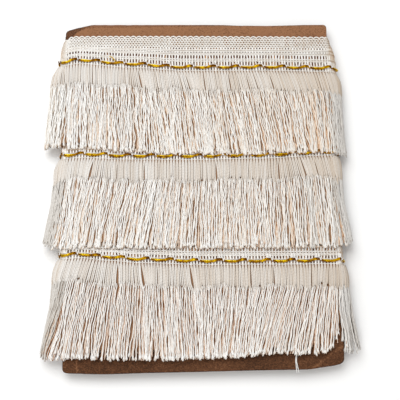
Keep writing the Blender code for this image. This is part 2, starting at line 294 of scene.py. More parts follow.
def heading_place(tier, run, share, above, depth):
    """Points on the heading: a share of the way down to the cord, moved up by above."""
    cord, rise = tier_line(tier, run)
    y = cord + rise * (1 - share) + above
    way = (cord + rise - y) / (rise + HEADING_BELOW)
    lift = read_table(HEADING_LIFT, way)[0]
    side = INNER_SPREAD + (lift - INNER_LIFT) * FULLNESS[tier] - depth
    side = side - PINCH[tier] * np.clip(1 - way / PINCH_END, 0, 1)
    bulge = BULGE[tier] * np.clip((way - BULGE_START) / BULGE_GROWS, 0, 1)
    return place(run, y, lift - depth, lift * BACK_SQUEEZE - depth, side, side + bulge)


print("card from", round(CARD_BACK, 2), "to", round(CARD_FRONT, 2), "mm above the floor")

# %% [markdown]
# ## Yarn as tubes
# A yarn is a tube swept along a path. Thousands of them are far quicker to make as arrays of
# numbers than as curve objects, so a bundle gathers the rings of many tubes and hands them to
# one mesh. Lobes make a ring oval and turn it along the tube, as two twisted plies do. Each
# point carries a tone, a little lower on the flanks and the underside, where less light gets
# in. The UV map runs round and along the yarn in millimetres, for the material's twist.

# %% A bundle of yarn tubes
UP = np.array([0.0, 0.0, 1.0])
# A cut end takes one spot of the twist's map, on top of a ply.
CAP_UV = 0.25
# The tone of a band's inner face, which nothing lights.
INSIDE_TONE = 0.1


class Bundle:
    def __init__(self):
        self.points, self.tones, self.quads, self.quad_uvs, self.caps = [], [], [], [], []
        self.count = 0

    def add(
        self, points, outward, radius, sides, tone, lobes=0.0, pitch=5.0, shade=0.0, hand=1, closed=False
    ):
        """Tubes along points (tubes, steps, 3), with a radius and a tone for each step."""
        tubes, steps = points.shape[:2]
        ahead = np.roll(points, -1, 1) - np.roll(points, 1, 1)
        if not closed:
            ahead[:, 0] = points[:, 1] - points[:, 0]
            ahead[:, -1] = points[:, -1] - points[:, -2]
        lengths = np.linalg.norm(np.diff(points, axis=1), axis=2)
        along = np.concatenate([np.zeros((tubes, 1)), np.cumsum(lengths, 1)], 1)
        ahead /= np.linalg.norm(ahead, axis=2, keepdims=True) + 1e-9
        across = np.cross(ahead, outward)
        across /= np.linalg.norm(across, axis=2, keepdims=True) + 1e-9
        upward = np.cross(across, ahead)
        radius = np.broadcast_to(radius, (tubes, steps))
        theta = np.arange(sides) * TAU / sides
        start = rng.uniform(0, TAU, (tubes, 1))
        turning = 2 * TAU * along / pitch - start
        swell = 1 + lobes * np.cos(2 * theta - turning[..., None])
        size = (radius[..., None] * swell)[..., None]
        ring = np.cos(theta)[:, None] * across[:, :, None] + np.sin(theta)[:, None] * upward[:, :, None]
        self.points.append((points[:, :, None] + size * ring).reshape(-1, 3))
        tone = np.broadcast_to(tone, (tubes, steps))[..., None] - shade * (1 - np.sin(theta)) / 2
        self.tones.append(tone.reshape(-1))
        spans = steps if closed else steps - 1
        t, s, k = np.meshgrid(np.arange(tubes), np.arange(spans), np.arange(sides), indexing="ij")
        following, side = (s + 1) % steps, (k + 1) % sides
        base = self.count + t * steps * sides
        quad = [base + s * sides + k, base + following * sides + k]
        quad += [base + following * sides + side, base + s * sides + side]
        self.quads.append(np.stack(quad, -1).reshape(-1, 4)[:, ::-1])
        v0 = (along + (math.pi - start) * pitch / (2 * TAU))[t, s]
        v1 = v0 + np.concatenate([lengths, lengths[:, :1]], 1)[t, s]
        u0, u1 = k / sides, (k + 1) / sides
        v0, v1 = hand * v0, hand * v1
        self.quad_uvs.append(np.stack([u1, v0, u1, v1, u0, v1, u0, v0], -1).reshape(-1, 8))
        if not closed:
            first = self.count + np.arange(tubes)[:, None] * steps * sides
            rim = np.arange(sides)
            self.caps.append((first + rim, first + (steps - 1) * sides + rim[::-1]))
        self.count += tubes * steps * sides

    def add_one(self, points, outward, radius, sides, tone, **look):
        """A single tube along points (steps, 3)."""
        outward = np.broadcast_to(outward, points.shape)
        self.add(points[None], outward[None], radius, sides, tone, **look)

    def make(self, name, material):
        """One mesh object of all the tubes."""
        quads = np.concatenate(self.quads)
        uvs = np.concatenate(self.quad_uvs).reshape(-1, 2)
        loops, totals = [quads.reshape(-1)], [np.full(len(quads), 4)]
        for cap in (cap for pair in self.caps for cap in pair):
            loops.append(cap.reshape(-1))
            totals.append(np.full(len(cap), cap.shape[1]))
            uvs = np.concatenate([uvs, np.full((cap.size, 2), CAP_UV)])
        points, tones = np.concatenate(self.points) * MM, np.concatenate(self.tones)
        return mesh_object(name, points, loops, totals, material, uvs, tones)


# %% [markdown]
# A mesh can be built face by face with bmesh, which reads well but is slow for half a
# million faces. Its lists can also be filled with one call each, and this helper does that.

# %% A mesh object from arrays
def mesh_object(name, points, loops, totals, material, uvs=None, tones=None):
    """An object from arrays: points in metres, corner indices and corners per face."""
    loops, totals = np.concatenate(loops), np.concatenate(totals)
    mesh = bpy.data.meshes.new(name)
    mesh.vertices.add(len(points))
    mesh.vertices.foreach_set("co", np.ravel(points))
    mesh.loops.add(len(loops))
    mesh.loops.foreach_set("vertex_index", loops)
    mesh.polygons.add(len(totals))
    mesh.polygons.foreach_set("loop_start", np.cumsum(totals) - totals)
    mesh.polygons.foreach_set("loop_total", totals)
    mesh.update(calc_edges=True)
    mesh.shade_smooth()
    if uvs is not None:
        mesh.uv_layers.new(name="yarn").data.foreach_set("uv", np.ravel(uvs))
    if tones is not None:
        mesh.attributes.new("tone", "FLOAT", "POINT").data.foreach_set("value", tones)
    mesh.materials.append(material)
    made = bpy.data.objects.new(name, mesh)
    bpy.context.scene.collection.objects.link(made)
    print(name, "has", int((totals - 2).sum()), "triangles")
    return made


# %% [markdown]
# A band shows the turns that lie inside the pack, of which only the shade is seen, so it
# needs no yarns of its own. Every finished piece is settled: it rides on the pack and hides
# the solids that it stands for.

# %% Bands and finished pieces
def band(name, outer, inner, tones, material, patchy=0.0):
    """A thin closed band round the card, from an outer and an inner grid of points and tones."""
    points = np.concatenate([outer, inner[:, ::-1]], 1)
    count, each = points.shape[:2]
    i, j = np.meshgrid(np.arange(count), np.arange(each), indexing="ij")
    right, below = (i + 1) % count, (j + 1) % each
    quads = np.stack([i * each + j, i * each + below, right * each + below, right * each + j], -1)
    tones = np.broadcast_to(tones, outer.shape[:2])
    tones = np.concatenate([tones, 0 * tones + INSIDE_TONE], 1)
    tones = tones + patchy * rng.uniform(-1, 1, (count, 1))
    uvs = np.zeros((quads.size, 2))
    flat = points.reshape(-1, 3) * MM
    loops, totals = [quads.reshape(-1)], [np.full(count * each, 4)]
    return mesh_object(name, flat, loops, totals, material, uvs, tones.ravel())


def settle(piece, slot, *nodes):
    """A finished piece rides on the pack and hides the solids of these nodes; slot is not used."""
    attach(piece, "root")
    if nodes:
        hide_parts(*nodes)
    return piece


# %% [markdown]
# ## Finishes shared by several materials
# Yarn, cord and stitching are all twisted plies, and yarn and board both have a fine fibre
# grain. Each of these effects is a node group with named sockets, built once and set with its
# own values in every material that needs it. Nodes could also be placed by hand in Blender's
# editor, but a script can be read and repeated. Small helpers keep its wiring short.

# %% Helpers for node trees
def new_group(name, inputs, outputs):
    """A group that takes numbers and vectors by the kind of their default, and gives numbers."""
    group = bpy.data.node_groups.new(name, "ShaderNodeTree")
    for label, value in inputs.items():
        kind = "NodeSocketFloat" if isinstance(value, float) else "NodeSocketVector"
        group.interface.new_socket(label, in_out="INPUT", socket_type=kind).default_value = value
    for label in outputs:
        group.interface.new_socket(label, in_out="OUTPUT", socket_type="NodeSocketFloat")
    return group, group.nodes.new("NodeGroupInput"), group.nodes.new("NodeGroupOutput")


def wire(tree, node, links):
    """The node, with its inputs linked from sockets or set to values."""
    for socket, source in dict(links).items():
        if isinstance(source, bpy.types.NodeSocket):
            tree.links.new(source, node.inputs[socket])
        else:
            node.inputs[socket].default_value = source
    return node


def add_node(tree, kind, links=(), **settings):
    node = tree.nodes.new(kind)
    for key, value in settings.items():
        setattr(node, key, value)
    return wire(tree, node, links)


def use_group(tree, group, links=()):
    node = tree.nodes.new("ShaderNodeGroup")
    node.node_tree = group
    return wire(tree, node, links)


def arithmetic(tree, operation, *values):
    return add_node(tree, "ShaderNodeMath", dict(enumerate(values)), operation=operation).outputs[0]


def noise(tree, where, scale, detail, **more):
    settings = {"Vector": where, "Scale": scale, "Detail": detail, **more}
    return add_node(tree, "ShaderNodeTexNoise", settings).outputs["Fac"]


def point_tone(tree):
    return add_node(tree, "ShaderNodeAttribute", attribute_name="tone").outputs["Fac"]


def ramp(tree, value, stops):
    """Colours read from a value, through (position, colour) stops."""
    node = add_node(tree, "ShaderNodeValToRGB", {0: value})
    elements = node.color_ramp.elements
    while len(elements) < len(stops):
        elements.new(0.5)
    for element, (position, colour) in zip(elements, stops):
        element.position = position
        element.color = (*colour, 1.0)
    return node.outputs["Color"]


def new_material(name, **fixed):
    """(material, its tree, its surface shader) with the values that don't vary set on it."""
    material = bpy.data.materials.new(name)
    material.use_nodes = True
    surface = material.node_tree.nodes["Principled BSDF"]
    for socket, value in fixed.items():
        surface.inputs[socket.replace("_", " ")].default_value = value
    return material, material.node_tree, surface


def finish_surface(tree, surface, value, stops, height, relief):
    """Colour the surface by a value, and raise it by a height that is relief millimetres at 1."""
    tree.links.new(ramp(tree, value, stops), surface.inputs["Base Color"])
    bump = add_node(tree, "ShaderNodeBump", {"Height": height, "Distance": relief * MM})
    tree.links.new(bump.outputs["Normal"], surface.inputs["Normal"])


# %% [markdown]
# The twist group draws the grooves between plies as slanting lines round the tube. The fibre
# group gives a fine stretched noise for relief and a broad one for uneven colour. The crease
# group gives a soft line across a sheet, for board that was bent and pressed flat again.

# %% Ply twist
def twist_group():
    """Height of the plies of a twisted yarn, from its UV map in turns and millimetres."""
    sockets = {"UV": (0, 0, 0), "Pitch": 5.0, "Plies": 2.0}
    group, given, result = new_group("ply twist", sockets, ["Height"])
    parts = add_node(group, "ShaderNodeSeparateXYZ", {0: given.outputs["UV"]})
    round_it = arithmetic(group, "MULTIPLY", parts.outputs["X"], given.outputs["Plies"])
    along = arithmetic(group, "DIVIDE", parts.outputs["Y"], given.outputs["Pitch"])
    turns = arithmetic(group, "MULTIPLY", along, given.outputs["Plies"])
    phase = arithmetic(group, "SUBTRACT", round_it, turns)
    wave = arithmetic(group, "SINE", arithmetic(group, "MULTIPLY", phase, math.pi))
    group.links.new(arithmetic(group, "ABSOLUTE", wave), result.inputs["Height"])
    return group


TWIST = twist_group()
print("node group:", TWIST.name)

# %% Fibre grain
# The scale of the noise in the fibres' soft patches.
PATCH_SCALE = 60.0


def fibre_group():
    """Fine fibres: a stretched noise for relief and a soft one for uneven colour."""
    sockets = {"Stretch": (1, 1, 1), "Scale": 900.0}
    group, given, result = new_group("fibre grain", sockets, ["Grain", "Patches"])
    where = add_node(group, "ShaderNodeTexCoord").outputs["Object"]
    factors = {0: where, 1: given.outputs["Stretch"]}
    drawn = add_node(group, "ShaderNodeVectorMath", factors, operation="MULTIPLY")
    grain = noise(group, drawn.outputs[0], given.outputs["Scale"], 3.0, Roughness=0.6)
    group.links.new(grain, result.inputs["Grain"])
    group.links.new(noise(group, where, PATCH_SCALE, 2.0), result.inputs["Patches"])
    return group


FIBRE = fibre_group()
print("node group:", FIBRE.name)

# %% Crease line
# How far a crease's line wanders, in metres, and the scale of the noise that makes it wander.
CREASE_WANDER, WANDER_SCALE = 0.003, 90.0


def crease_group():
    """A crease across a sheet: a mask that is 1 on the line and falls off over its width."""
    sockets = {"Direction": (1, 0, 0), "Offset": 0.0, "Width": 0.001}
    group, given, result = new_group("crease line", sockets, ["Line", "Side"])
    where = add_node(group, "ShaderNodeTexCoord").outputs["Object"]
    factors = {0: where, 1: given.outputs["Direction"]}
    dot = add_node(group, "ShaderNodeVectorMath", factors, operation="DOT_PRODUCT")
    off = arithmetic(group, "SUBTRACT", dot.outputs["Value"], given.outputs["Offset"])
    off = arithmetic(group, "SUBTRACT", off, CREASE_WANDER / 2)
    off = arithmetic(group, "MULTIPLY_ADD", noise(group, where, WANDER_SCALE, 3.0), CREASE_WANDER, off)
    share = arithmetic(group, "DIVIDE", off, given.outputs["Width"])
    square = arithmetic(group, "MULTIPLY", share, share)
    line = arithmetic(group, "EXPONENT", arithmetic(group, "MULTIPLY", square, -1.0))
    side = add_node(group, "ShaderNodeClamp", {0: arithmetic(group, "MULTIPLY_ADD", share, 0.25, 0.5)})
    group.links.new(line, result.inputs["Line"])
    group.links.new(side.outputs[0], result.inputs["Side"])
    return group


CREASE = crease_group()
print("node group:", CREASE.name)

# %% [markdown]
# ## Yarn and gilt
# The yarn is undyed cotton: ivory where light reaches it, and warm tan deep between the
# strands, because light that gets down there has bounced off other yarn and the brown card.
# The gilt cord is metal film. Its dark and bright stretches are painted reflection, and a dark
# thread along its lower edge is painted shade.

# %% Tones of yarn and gilt
STRAND_TONES = (
    (0.0, (0.30, 0.08, 0.012)),
    (0.25, (0.59, 0.27, 0.075)),
    (0.5, (0.73, 0.55, 0.38)),
    (0.68, (0.78, 0.72, 0.645)),
    (0.85, (0.815, 0.79, 0.75)),
    (1.0, (0.89, 0.885, 0.875)),
)
KNIT_TONES = (
    (0.0, (0.11, 0.035, 0.009)),
    (0.25, (0.48, 0.25, 0.10)),
    (0.5, (0.64, 0.52, 0.40)),
    (0.72, (0.765, 0.717, 0.66)),
    (1.0, (0.94, 0.93, 0.91)),
)
# The skirt's tones stay paler and closer together than the strands'.
SKIRT_TONES = (
    (0.0, (0.24, 0.12, 0.05)),
    (0.4, (0.56, 0.45, 0.34)),
    (0.82, (0.75, 0.717, 0.68)),
    (1.0, (0.85, 0.828, 0.80)),
)
# The strands at and near the card's long edges are greyer: painted shade.
EDGE_SHADE_TONES = (
    (0.0, (0.36, 0.27, 0.20)),
    (0.5, (0.57, 0.53, 0.48)),
    (0.8, (0.67, 0.64, 0.605)),
    (1.0, (0.735, 0.71, 0.68)),
)
# The inner turns only show between yarns, where little light gets in.
INNER_TONES = (
    (0.0, (0.26, 0.12, 0.05)),
    (0.2, (0.42, 0.265, 0.165)),
    (0.5, (0.60, 0.47, 0.36)),
    (1.0, (0.75, 0.66, 0.57)),
)
GILT_TONES = (
    (0.16, (0.13, 0.045, 0.001)),
    (0.32, (0.42, 0.19, 0.001)),
    (0.52, (0.69, 0.42, 0.002)),
    (0.78, (0.88, 0.66, 0.010)),
)
print("tones of a strand:", len(STRAND_TONES))

# %% [markdown]
# Real light bounces many times between thousands of strands. Long renders could follow it, but
# a tone for each point of the mesh, which picks a colour from these ramps, gives the same warm
# depth at once. Twist and fibres then change the tone and raise the surface.

# %% Yarn and gilt materials
# How much soft patches change a yarn's tone, the middle height of its plies, and the share of
# its relief that is fibres.
PATCHY, PLY_MIDDLE, FIBRE_RELIEF = 0.10, 0.7, 0.25
# A strand's plies turn once in this many millimetres.
STRAND_PITCH = 7.0
# Columns are a yarn's name, its pitch, how dark its grooves are, which is painted shade, its
# relief in millimetres and its tones.
YARNS = (
    ("strand_yarn", STRAND_PITCH, 0.05, 0.10, STRAND_TONES),
    ("side_yarn", STRAND_PITCH, 0.05, 0.10, EDGE_SHADE_TONES),
    ("skirt_yarn", 5.0, 0.05, 0.08, SKIRT_TONES),
    ("inner_yarn", 5.0, 0.05, 0.08, INNER_TONES),
    ("knit_yarn", 2.4, 0.20, 0.14, KNIT_TONES),
)
# How much of the film's tone is grain and twist, and what is taken off for them. The grain's
# dark and bright stretches are painted reflection, and the twist's dark grooves painted shade.
GILT_GRAIN, GILT_TWIST, GILT_OFF = 0.9, 0.12, 0.95
GILT_PITCH, GILT_RELIEF = 3.0, 0.12


def twisted(tree, pitch):
    """Height of a yarn's two plies, which turn once in pitch millimetres."""
    uv = add_node(tree, "ShaderNodeUVMap", uv_map="yarn").outputs["UV"]
    return use_group(tree, TWIST, {"UV": uv, "Pitch": pitch, "Plies": 2.0}).outputs["Height"]


def yarn_material(name, pitch, groove, relief, tones):
    """Cotton yarn with its twist, fine fibres and a tone for each point."""
    material, tree, surface = new_material(name, Roughness=0.7, Specular_IOR_Level=0.25, Sheen_Weight=0.05)
    twist = twisted(tree, pitch)
    fibre = use_group(tree, FIBRE, {"Stretch": (1.0, 0.25, 1.0), "Scale": 1500.0})
    uneven = arithmetic(tree, "MULTIPLY_ADD", fibre.outputs["Patches"], PATCHY, -PATCHY / 2)
    # The grooves between plies are darkened: painted shade.
    dark = arithmetic(tree, "MULTIPLY_ADD", twist, groove, -PLY_MIDDLE * groove)
    total = arithmetic(tree, "ADD", arithmetic(tree, "ADD", point_tone(tree), uneven), dark)
    height = arithmetic(tree, "MULTIPLY_ADD", fibre.outputs["Grain"], FIBRE_RELIEF, twist)
    finish_surface(tree, surface, total, tones, height, relief)
    return material


def gilt_material():
    """Gilt film whose dark and bright stretches are painted reflection."""
    material, tree, surface = new_material("gilt_film", Metallic=0.6, Roughness=0.36, Specular_IOR_Level=0.1)
    twist = twisted(tree, GILT_PITCH)
    fibre = use_group(tree, FIBRE, {"Stretch": (1.0, 1.0, 1.0), "Scale": 420.0})
    reflection_and_wear = arithmetic(tree, "ADD", point_tone(tree), -GILT_OFF)
    reflection_and_wear = arithmetic(tree, "MULTIPLY_ADD", fibre.outputs["Grain"], GILT_GRAIN, reflection_and_wear)
    reflection_and_wear = arithmetic(tree, "MULTIPLY_ADD", twist, GILT_TWIST, reflection_and_wear)
    finish_surface(tree, surface, reflection_and_wear, GILT_TONES, twist, GILT_RELIEF)
    return material


STRAND_YARN, EDGE_SHADE_YARN, SKIRT_YARN, INNER_YARN, KNIT_YARN = (yarn_material(*row) for row in YARNS)
GILT = gilt_material()
print("materials:", [material.name for material in bpy.data.materials])

# %% [markdown]
# ## The card
# The card is corrugated board: two paper liners with a fluted sheet between them. Only its
# head and foot show. The front liner is torn back along the head, so that a darker leaf shows
# behind it. Each leaf is an outline with a ragged rim and a flat face, and a crease near two
# corners is drawn by the material, because it is only a change of slope. Along the crease the
# material paints a highlight.

# %% Board material
# Columns are the way across a crease, how far along it the crease lies and its width, in metres.
BOARD_CREASES = (((0.586, -0.81, 0.0), 0.1706, 0.0012), ((1.0, 0.0, 0.0), -0.0984, 0.0007))
# Along a crease the colour gets a painted highlight, and the bump slopes by CREASE_SLOPE.
CREASE_HIGHLIGHT, CREASE_SLOPE = 0.14, -4.0
# Along an axis the board is darkest up to the first place and even from the second one on.
# This is painted shade: the foot lies in the fringe's shadow, and the inside leaf's left end
# in the torn corner.
FOOT_SHADE = ("Y", -0.132, -0.110)
LEFT_SHADE = ("X", -0.103, -0.090)
# How much darker the foot and the cut rim are, both as painted shade.
FOOT_DARKER, RIM_SHADE = 0.31, 0.14
# How much blotches change the tone, the scale of their noise, and the fibres' relief.
BLOTCHY, BLOTCH_SCALE, BOARD_RELIEF = 0.3, 26.0, 0.06


def board_material(name, dark, colour, shaded=0.0):
    """Kraft board with fibres, blotches, two creases, and painted shade at its rim, foot and one end."""
    material, tree, surface = new_material(name, Roughness=0.85, Specular_IOR_Level=0.2)
    fibre = use_group(tree, FIBRE, {"Stretch": (0.6, 1.0, 1.0), "Scale": 1500.0})
    where = add_node(tree, "ShaderNodeTexCoord").outputs["Object"]
    height = fibre.outputs["Grain"]
    blotch = arithmetic(tree, "MULTIPLY_ADD", noise(tree, where, BLOTCH_SCALE, 4.0), BLOTCHY, -BLOTCHY / 2)
    mixed = arithmetic(tree, "SUBTRACT", arithmetic(tree, "ADD", height, blotch), RIM_SHADE)
    mixed = arithmetic(tree, "MULTIPLY_ADD", point_tone(tree), RIM_SHADE, mixed)
    parts = add_node(tree, "ShaderNodeSeparateXYZ", {0: where}).outputs
    for axis, low, high, darker in ((*FOOT_SHADE, FOOT_DARKER), (*LEFT_SHADE, shaded)):
        reach = {"Value": parts[axis], "From Min": low, "From Max": high, "To Min": -darker, "To Max": 0.0}
        mixed = arithmetic(tree, "ADD", mixed, add_node(tree, "ShaderNodeMapRange", reach).outputs[0])
    for direction, offset, width in BOARD_CREASES:
        fold = use_group(tree, CREASE, {"Direction": direction, "Offset": offset, "Width": width})
        mixed = arithmetic(tree, "MULTIPLY_ADD", fold.outputs["Line"], CREASE_HIGHLIGHT, mixed)
        height = arithmetic(tree, "MULTIPLY_ADD", fold.outputs["Side"], CREASE_SLOPE, height)
    stops = ((0.0, tuple(0.25 * part for part in dark)), (0.28, dark), (0.50, colour))
    finish_surface(tree, surface, mixed, stops, height, BOARD_RELIEF)
    return material


BOARD = board_material("kraft_board", (0.12, 0.048, 0.020), (0.29, 0.138, 0.067))
BOARD_INSIDE = board_material("kraft_board_inside", (0.10, 0.042, 0.020), (0.25, 0.112, 0.055), 0.24)
BOARD_HOLLOW_SHADE = board_material("kraft_board_hollow_shade", (0.012, 0.006, 0.004), (0.03, 0.014, 0.008))
print("board materials:", [material.name for material in (BOARD, BOARD_INSIDE, BOARD_HOLLOW_SHADE)])

# %% [markdown]
# The leaves could be boxes with a displaced edge, but torn and cut paper has a crisp, uneven
# rim. An outline through a few corners, which chance makes uneven, gives that rim directly, and
# its faces are sharp, so that it catches the light as a cut edge does.

# %% Outlines of the board
# Columns are a corner's x, y and how far from it the rounding starts.
BACK_CORNERS = (
    (-110.6, -148.3, 4.0), (-78.0, -149.3, 10.0), (-45.0, -148.1, 10.0), (0.0, -147.2, 10.0),
    (45.0, -146.0, 8.0), (90.0, -145.3, 6.0), (97.0, -143.8, 4.0), (109.0, -142.2, 4.0),
    (116.4, -140.0, 4.6), (109.3, 149.3, 3.4), (90.0, 149.3, 8.0), (62.0, 148.5, 8.0),
    (35.0, 148.5, 8.0), (15.0, 149.3, 8.0), (-94.0, 149.2, 2.4), (-116.2, 143.8, 3.5),
)
FRONT_CORNERS = (
    *BACK_CORNERS[:10], (60, 148.1, 8), (20, 148.6, 8), (-35, 147.7, 4),
    (-62, 147.3, 3), (-90, 147.2, 4), (-99, 145.9, 3), (-106, 142.8, 3), (-110.5, 138.0, 3),
    (-115.8, 112, 5),
)
# Small nicks in the head's rim: x and depth. All have the same half width.
NICKS = ((-79.7, 0.9), (-53.0, 0.7), (-43.5, 0.9), (35.7, 0.6), (63.0, 1.0))
NICK_HALF, NICKS_ABOVE_Y = 0.9, 140
# Millimetres: how thick a liner is, how wide the darker rim, and how far its edges are rounded.
LINER, RIM, ROUNDED = 0.45, 0.9, 0.05
# The flutes are crushed and torn at the head's left end: x, y, z and radius along that stub.
# Its near-black colour is painted shade of the hollow flutes there.
CRUSHED = np.array([
    (-115.2, 140.4, 7.4, 0.4), (-115.9, 138.8, 7.8, 0.9), (-116.0, 137.2, 7.8, 0.8),
    (-115.7, 135.6, 7.2, 0.3),
])
print("corners of the front liner:", len(FRONT_CORNERS))


# %% Leaves of board
def card_outline(corners):
    """An outline through these corners, each rounded by a short curve."""
    outline = []
    for i, (x, y, cut) in enumerate(corners):
        corner = np.array([x, y], float)
        before = np.array(corners[i - 1][:2]) - corner
        after = np.array(corners[(i + 1) % len(corners)][:2]) - corner
        start = corner + cut * before / np.linalg.norm(before)
        end = corner + cut * after / np.linalg.norm(after)
        for t in np.linspace(0, 1, 7):
            outline.append((1 - t) ** 2 * start + 2 * t * (1 - t) * corner + t * t * end)
    return np.array(outline)


def resample(outline, step):
    """The outline with a point about every step millimetres."""
    closed = np.vstack([outline, outline[:1]])
    lengths = np.linalg.norm(np.diff(closed, axis=0), axis=1)
    along = np.concatenate([[0], np.cumsum(lengths)])
    places = np.linspace(0, along[-1], round(along[-1] / step), endpoint=False)
    return np.stack([np.interp(places, along, closed[:, i]) for i in (0, 1)], -1)


def leaf(name, corners, inset, low, high, ragged, material, nicks=(), step=2.2):
    """A flat leaf of board with a ragged cut rim; its tone falls from 1 inside to 0 there."""
    edge = resample(card_outline(corners), step)
    rough = np.abs(rng.normal(0, ragged, len(edge)))
    rough = inset + (rough + np.roll(rough, 1) + np.roll(rough, -1)) / 3
    for x, size in nicks:
        rough += size * np.exp(-((edge[:, 0] - x) / NICK_HALF) ** 2) * (edge[:, 1] > NICKS_ABOVE_Y)
    middle = edge.mean(0)
    inwards = (middle - edge) / np.abs(middle - edge).max(1, keepdims=True)
    rim = edge + inwards * rough[:, None]
    inner = rim + inwards * RIM
    rings = [(inner, high), (rim, high - ROUNDED), (rim, low + ROUNDED), (inner, low)]
    points = np.concatenate([np.column_stack([r + (SHIFT_X, 0), np.full(len(r), z)]) for r, z in rings])
    n = len(edge)
    i, j = np.arange(n), (np.arange(n) + 1) % n
    bands = [np.stack([a * n + j, a * n + i, (a + 1) * n + i, (a + 1) * n + j], -1) for a in range(3)]
    loops = [np.concatenate(bands)[:, ::-1].reshape(-1), i, 3 * n + i[::-1]]
    totals = [np.full(3 * n, 4), np.array([n]), np.array([n])]
    tones = np.repeat([1.0, 0.0, 0.0, 1.0], n)
    made = mesh_object(name, points * MM, loops, totals, material, None, tones)
    made.data.set_sharp_from_angle(angle=math.radians(40))
    return made


def make_card():
    low, high = CARD_BACK + LINER, CARD_FRONT - LINER
    front = leaf("card_front_liner", FRONT_CORNERS, 0.0, high, CARD_FRONT, 0.14, BOARD, NICKS, step=1.1)
    middle = leaf("card_flutes", BACK_CORNERS, 0.05, low + 0.02, high - 0.02, 0.16, BOARD_INSIDE)
    back = leaf("card_back_liner", BACK_CORNERS, 0.1, CARD_BACK, low, 0.12, BOARD_INSIDE)
    crushed = Bundle()
    crushed.add_one(CRUSHED[:, :3] + (SHIFT_X, 0, 0), UP, CRUSHED[:, 3], 6, 0.3)
    settle(crushed.make("card_crushed_end", BOARD_HOLLOW_SHADE), "board")
    settle(front, "board", "card")
    for piece in (middle, back):
        settle(piece, "board")


make_card()

# %% [markdown]
# ## The knitted heading
# The heading is warp knit: chains of stitches run along the trim, and weft yarns cross them
# every 2.5 mm. Where chains are missing, the wefts stand alone with slits between them. Each
# chain is one tube that swells at every stitch, and each free stretch of weft is a short bar.
# Near the top the chains zigzag, so that they part into eyelets, and the last one arches over
# two wefts at a time, which makes the scalloped edge.

# %% Rows of the knit
# Share is the way down from the heading's top edge to the cord, sway and flip are the size and
# the side of a chain's zigzag, and swell is how much it swells at a stitch.
Chain = namedtuple("Chain", "share radius sway flip swell")
CHAINS = (
    Chain(0.085, 0.66, 0.60, 0, 0.05),
    Chain(0.155, 0.66, 0.60, 1, 0.05),
    Chain(0.225, 0.66, 0.60, 0, 0.05),
    Chain(0.295, 0.66, 0.60, 1, 0.05),
    Chain(0.350, 0.62, 0.25, 0, 0.16),
    Chain(0.435, 0.68, 0.00, 0, 0.18),
    Chain(0.485, 0.66, 0.00, 1, 0.18),
    Chain(0.550, 0.66, 0.00, 0, 0.18),
    Chain(0.598, 0.62, 0.00, 1, 0.18),
    Chain(0.752, 0.62, 0.30, 0, 0.18),
    Chain(0.800, 0.62, 0.30, 1, 0.18),
    Chain(0.965, 0.50, 0.00, 1, 0.18),
)
Bars = namedtuple("Bars", "top foot radius")
WEFT_BARS = (
    Bars(0.35, 0.43, 0.88), Bars(0.48, 0.56, 0.70), Bars(0.60, 0.75, 0.80),
    Bars(0.81, 0.97, 0.86), Bars(0.97, 1.22, 0.98),
)
# The lower tiers show one chain more above the last row of slits.
LOWER_CHAIN = Chain(0.855, 0.62, 0.30, 0, 0.18)
# The chain below the cord: how far below it lies, how deep, and its radius.
FOOT_BELOW, FOOT_DEPTH, FOOT_RADIUS = 3.0, 0.4, 0.45
# Where a tier's heading comes out from under the cut ends of the tier above. Over the share
# NEAR_FIRST from there, chains are duller by painted shade from those cut ends, and wefts are
# left out.
FIRST_SHARE = by_tier(0.0, 0.76, 0.57)
NEAR_FIRST = 0.1
SHADE_UNDER_TIPS = by_tier(0.0, 0.35, 0.35)
# The heading is duller where it turns round the card's long edges: painted shade.
KNIT_TURN_SHADE = 0.40
# Painted shade for light that falls off towards the pack's right end: what the tones of knit,
# skirt and strands lose.
KNIT_FALLOFF_SHADE, SKIRT_FALLOFF_SHADE = 0.07, 0.19
STRAND_FALLOFF_SHADE = by_tier(0.21, 0.08, 0.07)
# The scalloped edge: how high its arches are, the share of the way down and the height where
# they start, and how deep they lie.
ARCH, ARCH_SHARE, ARCH_FROM, ARCH_DEPTH = 1.6, 0.03, -0.35, 0.55
# The chains' tone, what chance adds to it, and their depth as a share of their radius.
CHAIN_TONE, CHAIN_CHANCE, CHAIN_DEPTH = 0.93, (-0.12, 0.06), 0.85
# The free wefts: how much they lean, their size from end to end, and ranges of size and tone.
WEFT_LEAN = 0.16
WEFT_SIZE = np.array([1.1, 0.92, 0.92, 1.1])
WEFT_SIZES, WEFT_TONES = (0.82, 1.16), (0.86, 1.1)
print(len(CHAINS), "chains and", len(WEFT_BARS), "rows of free wefts")

# %% [markdown]
# A real chain is loop through loop. At this size each loop is a small swelling, so a tube
# that swells twice on a weft does for a whole chain, and needs far fewer faces. Chance in
# its tone keeps neighbouring stitches apart.

# %% Chains, scallops and wefts
def knit_shade(runs, outward):
    """Painted shade on the knit at these runs: at the turns round the card and towards the right end."""
    return KNIT_TURN_SHADE * np.abs(outward[..., 0]) + KNIT_FALLOFF_SHADE * station(runs)[0]


def chain(bundle, tier, runs, row):
    """One chain of stitches along the trim, swelling twice on every weft."""
    count = weft_count(runs)
    sway = row.sway * np.cos(math.pi * (2 * count + row.flip))
    points, outward = heading_place(tier, runs, row.share, sway, row.radius * CHAIN_DEPTH)
    radius = row.radius * (1 + row.swell * np.cos(2 * TAU * count))
    tone = CHAIN_TONE + 0.04 * np.sin(count / 3.0 + 9 * row.share) + rng.uniform(*CHAIN_CHANCE, len(runs))
    tone = tone - knit_shade(runs, outward)
    # Under the cut ends of the tier above, chains take painted shade.
    if row.share < FIRST_SHARE[tier] + NEAR_FIRST:
        tone = tone - SHADE_UNDER_TIPS[tier]
    hand = 1 - 2 * row.flip
    bundle.add_one(points, outward, radius, 5, tone, shade=0.5, hand=hand, closed=True)


